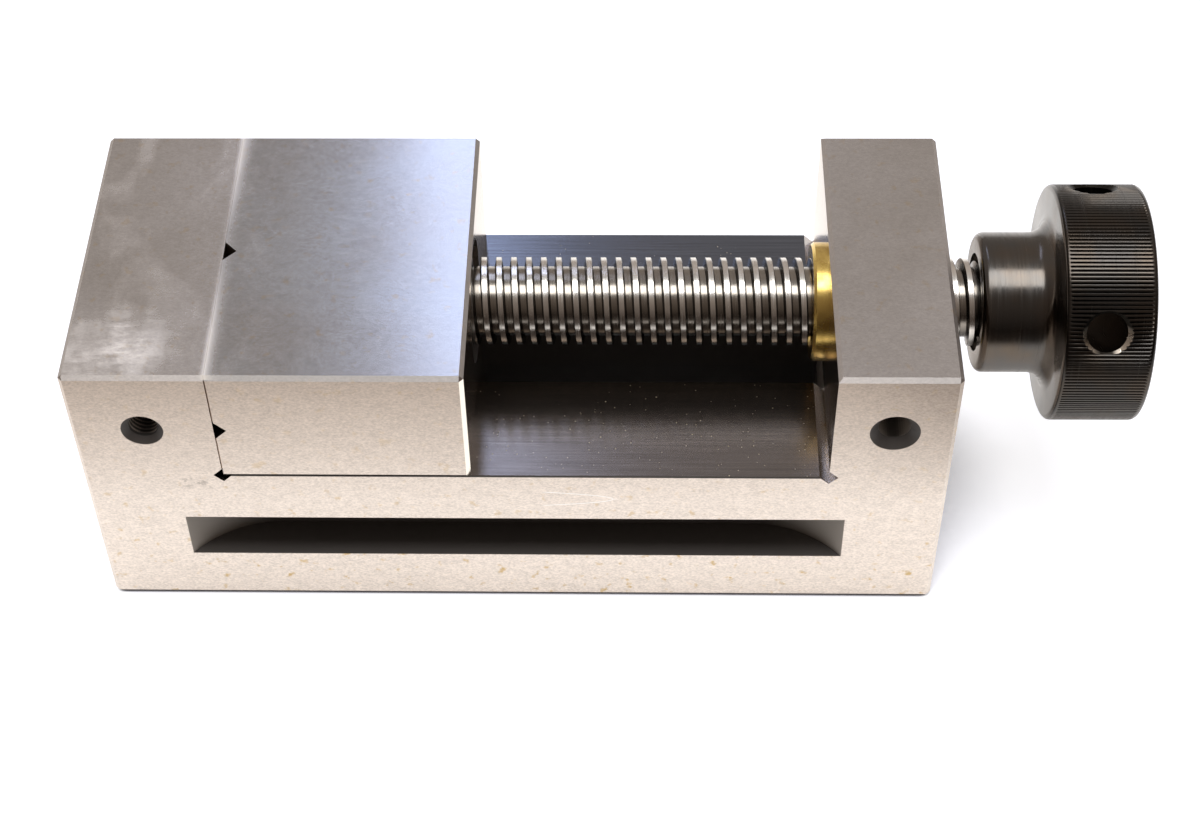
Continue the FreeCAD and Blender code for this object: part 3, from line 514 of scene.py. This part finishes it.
def blackOxideMaterial(name):
    material, add, shader = newMaterial(name)
    s = blackOxide
    where = add("TexCoord").outputs["Object"]
    marks = add("Mapping", {"Vector": where, "Scale": (1.0, 0.02, 0.02)})
    lines = add("TexNoise", {"Vector": marks, "Scale": 1 / (s["ringPitch"] * mm), "Detail": 4.0})
    stain = add("TexNoise", {"Vector": where, "Scale": 1 / (s["stainSize"] * mm), "Detail": 5.0})
    fine = add("TexNoise", {"Vector": where, "Scale": 1 / (s["fineSize"] * mm), "Detail": 2.0})
    mask = add("MapRange", {0: stain, 1: 0.4, 2: 0.7, 3: 0.0, 4: 1.0})
    colour = add("Mix", {0: mask, 6: s["base"], 7: s["brown"]}, data_type="RGBA")
    radius = fromScrewAxis(add, where)
    sunk = add("MapRange", {0: radius, 1: s["crestRadius"] * mm, 2: s["rootRadius"] * mm, 3: 0.62, 4: 0.16})
    onRim = add("Math", {0: radius, 1: s["rimRadius"] * mm}, operation="GREATER_THAN")
    root = add("Mix", {0: onRim, 2: 1.0, 3: sunk}, data_type="FLOAT")
    colour = add("Mix", {0: 1.0, 6: colour, 7: root}, data_type="RGBA", blend_type="MULTIPLY")
    rough = add("MapRange", {0: lines, 1: 0.3, 2: 0.7, 3: s["roughness"] - 0.05, 4: s["roughness"] + 0.09})
    height = add("Math", {0: fine, 1: 0.3, 2: lines}, operation="MULTIPLY_ADD")
    bump = add("Bump", {"Height": height, "Strength": 0.25, "Distance": 0.015 * mm})
    plug(shader, {"Base Color": colour, "Roughness": rough, "Normal": bump, "Metallic": 1.0})
    return material


# Worn black oxide on a countersink: bright bare metal is drawn in patches, partly wear and partly a painted
# highlight
wornOxideAndGlint = {
    "skin": "#26231f",
    "bare": "#cfc4b6",
    "wearSize": 1.6,         # mm
    "barX": 102.55,          # mm, the middle of the tommy-bar holes
}


def wornEdgeAndGlintMaterial(name):
    material, add, shader = newMaterial(name)
    s = wornOxideAndGlint
    where = add("TexCoord").outputs["Object"]
    along, _, up = add("SeparateXYZ", {0: where}).outputs
    wear = add("TexNoise", {"Vector": where, "Scale": 1 / (s["wearSize"] * mm), "Detail": 5.0,
                            "Roughness": 0.7})
    mask = add("MapRange", {0: wear, 1: 0.32, 2: 0.44, 3: 0.0, 4: 1.0})
    # painted highlight, besides wear: the lower corners of each sink, which face up to the light, are drawn as
    # bright bare metal
    lowerGlintArea = add("MapRange", {0: up, 1: 72 * mm, 2: 70 * mm, 3: 0.0, 4: 1.0})
    offset = add("Math", {0: along, 1: s["barX"] * mm}, operation="SUBTRACT")
    offset = add("Math", {0: offset}, operation="ABSOLUTE")
    sideness = add("MapRange", {0: offset, 1: 1.2 * mm, 2: 3.2 * mm, 3: 0.0, 4: 1.0})
    for area in (lowerGlintArea, sideness):
        mask = add("Math", {0: mask, 1: area}, operation="MULTIPLY")
    colour = add("Mix", {0: mask, 6: s["skin"], 7: s["bare"]}, data_type="RGBA")
    rough = add("MapRange", {0: mask, 1: 0.0, 2: 1.0, 3: 0.4, 4: 0.22})
    plug(shader, {"Base Color": colour, "Roughness": rough, "Metallic": 1.0})
    return material


screwSteel = brightSteelMaterial("turned bright steel")
oxide = blackOxideMaterial("black-oxide steel")
wornEdgeAndGlint = wornEdgeAndGlintMaterial("worn and glinting black-oxide edge")
dress("vise_body", groundSteelMaterial("ground hardened steel block", blockPockets(), block=True))
dress("moving_jaw", groundSteelMaterial("ground hardened steel jaw", jawPockets(), seed=0.4, brightCorner=True))
dress("keeper_plate", groundSteelMaterial("ground hardened steel plate", seed=0.9))
dress("brass_nut", brassMaterial("turned brass"))
for fastener in ("keeper_screws", "nut_lock_screws", "knob_set_screw"):
    dress(fastener, oxide)
for pin in ("neck_pins", "thrust_pad"):
    dress(pin, screwSteel)
print("materials done")


def newTree(name, inputs):
    # a geometry tree with named inputs; returns the tree, addNode for it, and its group input node
    tree = bpy.data.node_groups.new(name, "GeometryNodeTree")
    tree.interface.new_socket("Geometry", in_out="INPUT", socket_type="NodeSocketGeometry")
    for title, value in inputs.items():
        kind = {int: "NodeSocketInt", float: "NodeSocketFloat"}.get(type(value), "NodeSocketMaterial")
        tree.interface.new_socket(title, in_out="INPUT", socket_type=kind)
    tree.interface.new_socket("Geometry", in_out="OUTPUT", socket_type="NodeSocketGeometry")
    add = partial(addNode, tree)
    return tree, add, add("NodeGroupInput")


def bake(piece, modifier):
    # keeps the modifier's result as the piece's plain mesh
    bpy.context.view_layer.update()
    graph = bpy.context.evaluated_depsgraph_get()
    mesh = bpy.data.meshes.new_from_object(piece.evaluated_get(graph))
    piece.modifiers.remove(modifier)
    piece.data = mesh


def grow(piece, tree, inputs):
    # runs a geometry tree on a piece
    modifier = piece.modifiers.new(tree.name, "NODES")
    modifier.node_group = tree
    for item in tree.interface.items_tree:
        if item.in_out == "INPUT" and item.name in inputs:
            modifier[item.identifier] = inputs[item.name]
    bake(piece, modifier)
    return piece


def newPiece(name, mesh=None):
    piece = bpy.data.objects.new(name, mesh or bpy.data.meshes.new(name))
    bpy.context.scene.collection.objects.link(piece)
    return piece


def smoothByAngle(piece, degrees):
    for face in piece.data.polygons:
        face.use_smooth = True
    piece.data.set_sharp_from_angle(angle=math.radians(degrees))


def weld(piece, distance):
    # the distance is in the mesh's own millimetres
    shape = bmesh.new()
    shape.from_mesh(piece.data)
    bmesh.ops.remove_doubles(shape, verts=shape.verts, dist=distance)
    bmesh.ops.dissolve_degenerate(shape, edges=shape.edges, dist=distance)
    bmesh.ops.recalc_face_normals(shape, faces=shape.faces)
    shape.to_mesh(piece.data)
    shape.free()


# Lead screw, in mm: right-hand trapezoidal thread, with nose, neck and stub. Phases and heights are one
# turn's profile, in pitches along the screw and in shares of the thread's depth
leadScrew = {
    "pitch": 3.24,
    "crestRadius": 9.52,
    "rootRadius": 7.55,
    "threadLeft": -32.3,
    "threadRight": 79.64,
    "columns": 96,
    "endSlope": 1.2,         # by which the first and last crests rise from the ends
    "phases": (0.0, 0.195, 0.225, 0.30, 0.33, 0.42, 0.58, 0.67, 0.70, 0.775, 0.805, 0.99),
    "heights": (0.0, 0.0, 0.10, 0.93, 1.0, 1.0, 1.0, 1.0, 0.93, 0.10, 0.0, 0.0),
    "phaseShift": 0.775,
    "nose": ((-50.68, 0.0), (-50.68, 4.05), (-52.8, 4.05), (-52.8, 6.5), (-51.8, 7.5), (-44.76, 7.5),
             (-44.76, 4.2), (-40.66, 4.2), (-40.66, 7.5), (-32.35, 7.5)),
    "stub": ((79.64, 6.0), (111.73, 6.0), (112.73, 5.0), (112.73, 2.2), (111.4, 0.9), (111.4, 0.0)),
}


def threadTree():
    tree, add, given = newTree("trapezoidal thread", {
        "Pitch": 1.0, "Crest Radius": 1.0, "Root Radius": 1.0, "Left": 1.0, "Right": 1.0,
        "Columns": 1, "Rows": 1, "Phase Shift": 1.0, "Material": None})
    grid = add("MeshGrid", {"Vertices X": given.outputs["Columns"], "Vertices Y": given.outputs["Rows"]})
    index = add("InputIndex")
    column = add("FunctionNodeIntegerMath", {0: index, 1: given.outputs["Rows"]}, operation="DIVIDE_FLOOR")
    row = add("FunctionNodeIntegerMath", {0: index, 1: given.outputs["Rows"]}, operation="MODULO")
    steps = len(leadScrew["phases"])
    turn = add("FunctionNodeIntegerMath", {0: row, 1: steps}, operation="DIVIDE_FLOOR")
    step = add("FunctionNodeIntegerMath", {0: row, 1: steps}, operation="MODULO")
    phase = add("IndexSwitch", {0: step}, data_type="FLOAT")
    height = add("IndexSwitch", {0: step}, data_type="FLOAT")
    for switch, values in ((phase, leadScrew["phases"]), (height, leadScrew["heights"])):
        while len(switch.index_switch_items) < steps:
            switch.index_switch_items.new()
        for number, value in enumerate(values):
            switch.inputs[number + 1].default_value = value
    # each row climbs one pitch per turn, starts two turns early, and is cut off flat at both ends
    last = add("ShaderNodeMath", {0: given.outputs["Columns"], 1: 1.0}, operation="SUBTRACT")
    part = add("ShaderNodeMath", {0: column, 1: last}, operation="DIVIDE")
    angle = add("ShaderNodeMath", {0: part, 1: 2 * math.pi}, operation="MULTIPLY")
    turns = add("ShaderNodeMath", {0: turn, 1: phase}, operation="ADD")
    climbed = add("ShaderNodeMath", {0: turns, 1: part}, operation="ADD")
    shifted = add("ShaderNodeMath", {0: climbed, 1: given.outputs["Phase Shift"]}, operation="ADD")
    back = add("ShaderNodeMath", {0: shifted, 1: 2.0}, operation="SUBTRACT")
    x = add("ShaderNodeMath", {0: back, 1: given.outputs["Pitch"], 2: given.outputs["Left"]},
            operation="MULTIPLY_ADD")
    cut = add("ShaderNodeClamp", {0: x, 1: given.outputs["Left"], 2: given.outputs["Right"]})
    tooth = add("ShaderNodeMapRange", {0: height, 1: 0.0, 2: 1.0, 3: given.outputs["Root Radius"],
                                       4: given.outputs["Crest Radius"]})
    # the first and last crests run out into a short bevel
    fromLeft = add("ShaderNodeMath", {0: cut, 1: given.outputs["Left"]}, operation="SUBTRACT")
    fromRight = add("ShaderNodeMath", {0: given.outputs["Right"], 1: cut}, operation="SUBTRACT")
    nearEnd = add("ShaderNodeMath", {0: fromLeft, 1: fromRight}, operation="MINIMUM")
    bevel = add("ShaderNodeMath", {0: nearEnd, 1: leadScrew["endSlope"], 2: given.outputs["Root Radius"]},
                operation="MULTIPLY_ADD")
    radius = add("ShaderNodeMath", {0: tooth, 1: bevel}, operation="MINIMUM")
    cosine = add("ShaderNodeMath", {0: angle}, operation="COSINE")
    sine = add("ShaderNodeMath", {0: angle}, operation="SINE")
    y = add("ShaderNodeMath", {0: cosine, 1: radius}, operation="MULTIPLY")
    z = add("ShaderNodeMath", {0: sine, 1: radius}, operation="MULTIPLY")
    point = add("ShaderNodeCombineXYZ", {0: cut, 1: y, 2: z})
    placed = add("SetPosition", {"Geometry": grid, "Position": point})
    joined = add("MergeByDistance", {"Geometry": placed, "Distance": 0.0004})
    real = add("RealizeInstances", {"Geometry": joined})
    done = add("SetMaterial", {"Geometry": real, "Material": given.outputs["Material"]})
    add("NodeGroupOutput", {0: done})
    return tree


def lathe(profile, columns, name):
    # a turned shape about X, with its poles closed
    shape = bmesh.new()
    rings = []
    for x, r in profile:
        if r == 0.0:
            rings.append([shape.verts.new((x, 0, 0))])
            continue
        angles = [2 * math.pi * k / columns for k in range(columns)]
        rings.append([shape.verts.new((x, r * math.cos(a), r * math.sin(a))) for a in angles])
    for a, b in zip(rings, rings[1:]):
        for k in range(columns):
            corners = [a[k % len(a)], a[(k + 1) % len(a)], b[(k + 1) % len(b)], b[k % len(b)]]
            unique = list(dict.fromkeys(corners))
            if len(unique) > 2:
                shape.faces.new(unique)
    mesh = bpy.data.meshes.new(name)
    shape.to_mesh(mesh)
    shape.free()
    return mesh


def placeOnAxis(piece):
    # millimetres about the screw's axis to metres in the frame
    piece.data.transform(Matrix.Translation((0, 0, places["screwZ"])) @ Matrix.Scale(mm, 4))


def makeLeadScrew():
    s = leadScrew
    rows = (int((s["threadRight"] - s["threadLeft"]) / s["pitch"]) + 5) * len(s["phases"])
    piece = grow(newPiece("leadScrewThread"), threadTree(), {
        "Pitch": s["pitch"], "Crest Radius": s["crestRadius"], "Root Radius": s["rootRadius"],
        "Left": s["threadLeft"], "Right": s["threadRight"], "Columns": s["columns"] + 1, "Rows": rows,
        "Phase Shift": s["phaseShift"], "Material": screwSteel})
    shape = bmesh.new()
    shape.from_mesh(piece.data)
    nose = s["nose"] + ((s["threadLeft"], 7.5), (s["threadLeft"], s["rootRadius"]))
    stub = ((s["threadRight"], s["rootRadius"]),) + s["stub"]
    for profile in (nose, stub):
        shape.from_mesh(lathe(profile, s["columns"], "end"))
    shape.to_mesh(piece.data)
    shape.free()
    weld(piece, 0.0008)
    smoothByAngle(piece, 22)
    placeOnAxis(piece)
    piece.name = "leadScrewTurned"
    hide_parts("lead_screw")
    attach(piece, "screw")
    print("lead screw:", len(piece.data.polygons), "faces")


# Knob, in mm: hub and disc, straight knurl, four countersunk tommy-bar holes
knob = {
    "teeth": 180,
    "toothDepth": 0.32,
    "hubRadius": 15.15,
    "discRadius": 25.44,
    "left": 78.45,
    "discLeft": 93.75,
    "right": 112.74,
    "knurlLeft": 94.7,
    "knurlRight": 111.6,
    "barX": 102.55,
    "barRadius": 4.25,
    "sinkRadius": 5.25,
    "barFoot": 11.45,
    "barTurn": 58.6,
    "boreRadius": 6.02,
    "recessRadius": 10.62,
    "recessDepth": 1.2,
    "hubRound": 1.6,
    "flare": 4.2,
    "discRound": 1.3,
    "discRoundLength": 0.9,
    "endRound": 1.0,
    "boreChamfer": 0.8,
    "trim": 0.02,            # by which the rim's rounds stay below the knurl
    "toothProfile": (0.0, 0.12, 1.0, 0.12),
}


def knobProfile():
    k = knob
    recess = k["left"] + k["recessDepth"]
    points = [(recess, k["boreRadius"]), (recess, k["recessRadius"]), (k["left"], k["recessRadius"]),
              (k["left"], k["hubRadius"] - k["hubRound"])]
    points += [(k["left"] + k["hubRound"] * (1 - math.cos(a)),
                k["hubRadius"] - k["hubRound"] + k["hubRound"] * math.sin(a))
               for a in (0.3, 0.7, 1.1, 1.4, math.pi / 2)]
    flareLeft = k["discLeft"] - k["flare"]
    points.append((flareLeft, k["hubRadius"]))
    for i in range(1, 9):
        a = i / 8 * math.pi / 2
        points.append((flareLeft + k["flare"] * math.sin(a), k["hubRadius"] + k["flare"] * (1 - math.cos(a))))
    roundFoot = k["discRadius"] - k["discRound"]
    points.append((k["discLeft"], roundFoot))
    for i in range(1, 5):
        a = i / 4 * math.pi / 2
        points.append((k["discLeft"] + k["discRoundLength"] * (1 - math.cos(a)),
                       roundFoot + k["discRound"] * math.sin(a) - k["trim"]))
    points += [(k["knurlLeft"] + 0.3, k["discRadius"]), (k["knurlRight"] - 0.3, k["discRadius"])]
    for i in range(0, 5):
        a = i / 4 * math.pi / 2
        points.append((k["right"] - k["endRound"] + k["endRound"] * math.sin(a),
                       k["discRadius"] - k["trim"] - k["endRound"] * (1 - math.cos(a))))
    points += [(k["right"], k["boreRadius"] + k["boreChamfer"]),
               (k["right"] - k["boreChamfer"], k["boreRadius"])]
    # back to where it began
    return points + points[:1]


def knurlTree():
    # sinks the marked columns of the rim, so that it gets its teeth
    tree, add, given = newTree("straight knurl", {"Depth": 1.0, "Material": None})
    mark = add("InputNamedAttribute", {"Name": "knurl"}, data_type="FLOAT")
    place = add("InputPosition")
    flat = add("ShaderNodeVectorMath", {0: place, 1: (0, 1, 1)}, operation="MULTIPLY")
    out = add("ShaderNodeVectorMath", {0: flat}, operation="NORMALIZE")
    drop = add("ShaderNodeMath", {0: mark, 1: given.outputs["Depth"]}, operation="MULTIPLY")
    negative = add("ShaderNodeMath", {0: drop, 1: -1.0}, operation="MULTIPLY")
    offset = add("ShaderNodeVectorMath", {0: out, "Scale": negative}, operation="SCALE")
    moved = add("SetPosition", {"Geometry": given.outputs["Geometry"], "Offset": offset})
    real = add("RealizeInstances", {"Geometry": moved})
    done = add("SetMaterial", {"Geometry": real, "Material": given.outputs["Material"]})
    add("NodeGroupOutput", {0: done})
    return tree


def makeKnob():
    k = knob
    columns = k["teeth"] * 4
    piece = newPiece("knobTurned", lathe(knobProfile(), columns, "knob blank"))
    weld(piece, 0.0005)
    # mark the knurled rings: each tooth has four columns, and one of them is sunk
    marks = piece.data.attributes.new("knurl", "FLOAT", "POINT")
    for vertex in piece.data.vertices:
        x, y, z = vertex.co
        onRim = k["knurlLeft"] < x < k["knurlRight"] and math.hypot(y, z) > k["discRadius"] - 0.01
        column = round(math.atan2(z, y) / (2 * math.pi) * columns) % 4
        marks.data[vertex.index].value = k["toothProfile"][column] if onRim else 0.0
    grow(piece, knurlTree(), {"Depth": k["toothDepth"], "Material": oxide})
    # countersunk holes, cut a quarter turn apart
    cutterShape = bmesh.new()
    sink = k["sinkRadius"] - k["barRadius"]
    holeProfile = ((k["barFoot"], 0.0), (k["barFoot"], k["barRadius"]),
                   (k["discRadius"] - sink, k["barRadius"]),
                   (k["discRadius"] + 1.0, k["sinkRadius"] + 1.0), (k["discRadius"] + 1.0, 0.0))
    for number in range(4):
        hole = lathe(holeProfile, 64, "hole")
        turn = Matrix.Rotation(math.radians(k["barTurn"] + 90 * number), 4, "X")
        upright = Matrix.Rotation(math.radians(-90), 4, "Y")
        hole.transform(turn @ Matrix.Translation((k["barX"], 0, 0)) @ upright)
        cutterShape.from_mesh(hole)
    cutterMesh = bpy.data.meshes.new("bar holes")
    bmesh.ops.recalc_face_normals(cutterShape, faces=cutterShape.faces)
    cutterShape.to_mesh(cutterMesh)
    cutterShape.free()
    cutterMesh.materials.append(wornEdgeAndGlint)
    cutter = newPiece("barHoleCutter", cutterMesh)
    cut = piece.modifiers.new("bar holes", "BOOLEAN")
    cut.operation = "DIFFERENCE"
    cut.solver = "EXACT"
    cut.object = cutter
    cut.material_mode = "TRANSFER"
    bake(piece, cut)
    bpy.data.objects.remove(cutter)
    # only the countersinks take the worn and glinting material: the deep walls keep their oxide
    for face in piece.data.polygons:
        centre = face.center
        if face.material_index > 0 and math.hypot(centre.y, centre.z) < k["discRadius"] - sink - 0.3:
            face.material_index = 0
    smoothByAngle(piece, 30)
    placeOnAxis(piece)
    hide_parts("knob")
    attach(piece, "screw")
    print("knob:", len(piece.data.polygons), "faces")


makeLeadScrew()
makeKnob()


# Camera at the photograph's place and angle
view = {
    "place": (0.005374, -0.343805, 0.417203),
    "pitch": -0.85666,
    "yaw": -0.04334,
    "roll": -0.02903,
    "focalPixels": 2281.68,
    "centre": (571.12, 414.20),
    "frameSize": (1200, 825),
    "sensorWidth": 36.0,
}


def makeCamera():
    v = view
    width, height = v["frameSize"]
    cosPitch, sinPitch = math.cos(v["pitch"]), math.sin(v["pitch"])
    cosYaw, sinYaw = math.cos(v["yaw"]), math.sin(v["yaw"])
    forward = Vector((sinYaw * cosPitch, cosYaw * cosPitch, sinPitch))
    right = Vector((cosYaw, -sinYaw, 0))
    up = right.cross(forward)
    cosRoll, sinRoll = math.cos(v["roll"]), math.sin(v["roll"])
    across = cosRoll * right + sinRoll * up
    upward = -sinRoll * right + cosRoll * up
    data = bpy.data.cameras.new("photo view")
    data.sensor_fit = "HORIZONTAL"
    data.sensor_width = v["sensorWidth"]
    data.lens = v["focalPixels"] / width * v["sensorWidth"]
    data.shift_x = (width / 2 - v["centre"][0]) / width
    data.shift_y = (v["centre"][1] - height / 2) / width
    data.clip_start = 0.01
    camera = bpy.data.objects.new("photo view", data)
    bpy.context.scene.collection.objects.link(camera)
    turn = Matrix((across, upward, -forward)).transposed().to_4x4()
    camera.matrix_world = Matrix.Translation(v["place"]) @ turn
    bpy.context.scene.camera = camera


# White table and soft room light
room = {
    "tableTone": "#f2f2f2",
    "tablePale": "#fafafa",
    "tableReach": 4,
    "tableZ": -0.0002,
    "tableLift": 0.50,
    "eyeTone": "#c8cbdb",
    "eyeLift": 0.80,
    "farTone": "#4c443f",
    "backTone": "#b6ada6",
    "frontTone": "#857a72",
    "lowTone": "#453d38",
    "upTone": "#c4c4c6",
    "worldStrength": 1.0,
    "lamps": (
        # name, place, aim, size, power, colour, whether matt surfaces are lit by it
        ("overhead softbox", (0.0, -0.08, 1.05), (0, 0, 0.03), (0.95, 0.50), 7.0, "#ffffff", True),
        ("window", (-0.072, 0.40, 0.47), (-0.03, 0.0, 0.073), (0.04, 0.28), 0.15, "#c8d8ff", False),
    ),
}


def makeFloor():
    r = room
    floorMesh = bpy.data.meshes.new("table top")
    reach, z = r["tableReach"], r["tableZ"]
    corners = [(-reach, -reach, z), (reach, -reach, z), (reach, reach, z), (-reach, reach, z)]
    floorMesh.from_pydata(corners, [], [(0, 1, 2, 3)])
    floor = newPiece("tableTop", floorMesh)
    material, add, shader = newMaterial("white table top")
    where = add("TexCoord").outputs["Object"]
    mottle = add("TexNoise", {"Vector": where, "Scale": 40.0, "Detail": 3.0})
    tone = add("Mix", {0: mottle, 6: r["tableTone"], 7: r["tablePale"]}, data_type="RGBA")
    # seen by the eye, by metal and through glass, the table is lifted to a clean white under its shadows
    path = add("LightPath")
    inMetal = path.outputs["Is Glossy Ray"]
    direct = add("Math", {0: path.outputs["Is Camera Ray"], 1: path.outputs["Is Transmission Ray"]},
                 operation="MAXIMUM")
    seen = add("Math", {0: direct, 1: inMetal}, operation="MAXIMUM")
    # in the metal, the table darkens into the room away from the vise
    across = add("SeparateXYZ", {0: where}).outputs[1]
    away = add("MapRange", {0: across, 1: -90 * mm, 2: -185 * mm, 3: 0.0, 4: 1.0},
               interpolation_type="SMOOTHSTEP")
    dim = add("Math", {0: away, 1: inMetal}, operation="MULTIPLY")
    tone = add("Mix", {0: dim, 6: tone, 7: r["farTone"]}, data_type="RGBA")
    tone = add("Mix", {0: direct, 6: tone, 7: r["eyeTone"]}, data_type="RGBA")
    near = add("Math", {0: 1.0, 1: dim}, operation="SUBTRACT")
    # the lift fades where little of the room is open above the table: under the vise and by its walls
    openSky = add("AmbientOcclusion", {"Distance": 0.09}, samples=24)
    opening = add("MapRange", {0: openSky.outputs["AO"], 1: 0.33, 2: 0.52, 3: 0.0, 4: 1.0})
    lift = add("MapRange", {0: direct, 1: 0.0, 2: 1.0, 3: r["tableLift"], 4: r["eyeLift"]})
    for mask in (seen, near, opening):
        lift = add("Math", {0: lift, 1: mask}, operation="MULTIPLY")
    plug(shader, {"Base Color": tone, "Roughness": 0.9, "Specular IOR Level": 0.2,
                  "Emission Color": (1, 1, 1, 1), "Emission Strength": lift})
    floorMesh.materials.append(material)


def makeRoom():
    r = room
    makeFloor()
    world = bpy.data.worlds.new("soft room")
    world.use_nodes = True
    world.node_tree.nodes.clear()
    add = partial(addNode, world.node_tree)
    across, up = add("SeparateXYZ", {0: add("TexCoord").outputs["Generated"]}).outputs[1:]
    toBack = add("MapRange", {0: across, 1: -0.5, 2: 0.5, 3: 0.0, 4: 1.0}, interpolation_type="SMOOTHSTEP")
    overhead = add("MapRange", {0: up, 1: 0.80, 2: 1.0, 3: 0.0, 4: 1.0}, interpolation_type="SMOOTHSTEP")
    rise = add("MapRange", {0: up, 1: 0.0, 2: 0.75, 3: 0.0, 4: 1.0})
    front = add("Mix", {0: rise, 6: r["lowTone"], 7: r["frontTone"]}, data_type="RGBA")
    wall = add("Mix", {0: toBack, 6: front, 7: r["backTone"]}, data_type="RGBA")
    sky = add("Mix", {0: overhead, 6: wall, 7: r["upTone"]}, data_type="RGBA")
    light = add("Background", {0: sky, 1: r["worldStrength"]})
    add("OutputWorld", {"Surface": light})
    bpy.context.scene.world = world
    for name, place, aim, size, power, colour, matt in r["lamps"]:
        lamp = bpy.data.lights.new(name, "AREA")
        lamp.shape = "RECTANGLE"
        lamp.size, lamp.size_y = size
        lamp.energy = power
        lamp.color = linear(colour)[:3]
        holder = bpy.data.objects.new(name, lamp)
        bpy.context.scene.collection.objects.link(holder)
        ahead = Vector(aim) - Vector(place)
        holder.matrix_world = Matrix.Translation(place) @ ahead.to_track_quat("-Z", "Y").to_matrix().to_4x4()
        holder.visible_diffuse = matt


makeCamera()
makeRoom()
bpy.context.scene.view_settings.view_transform = "Standard"
print("camera and light done")
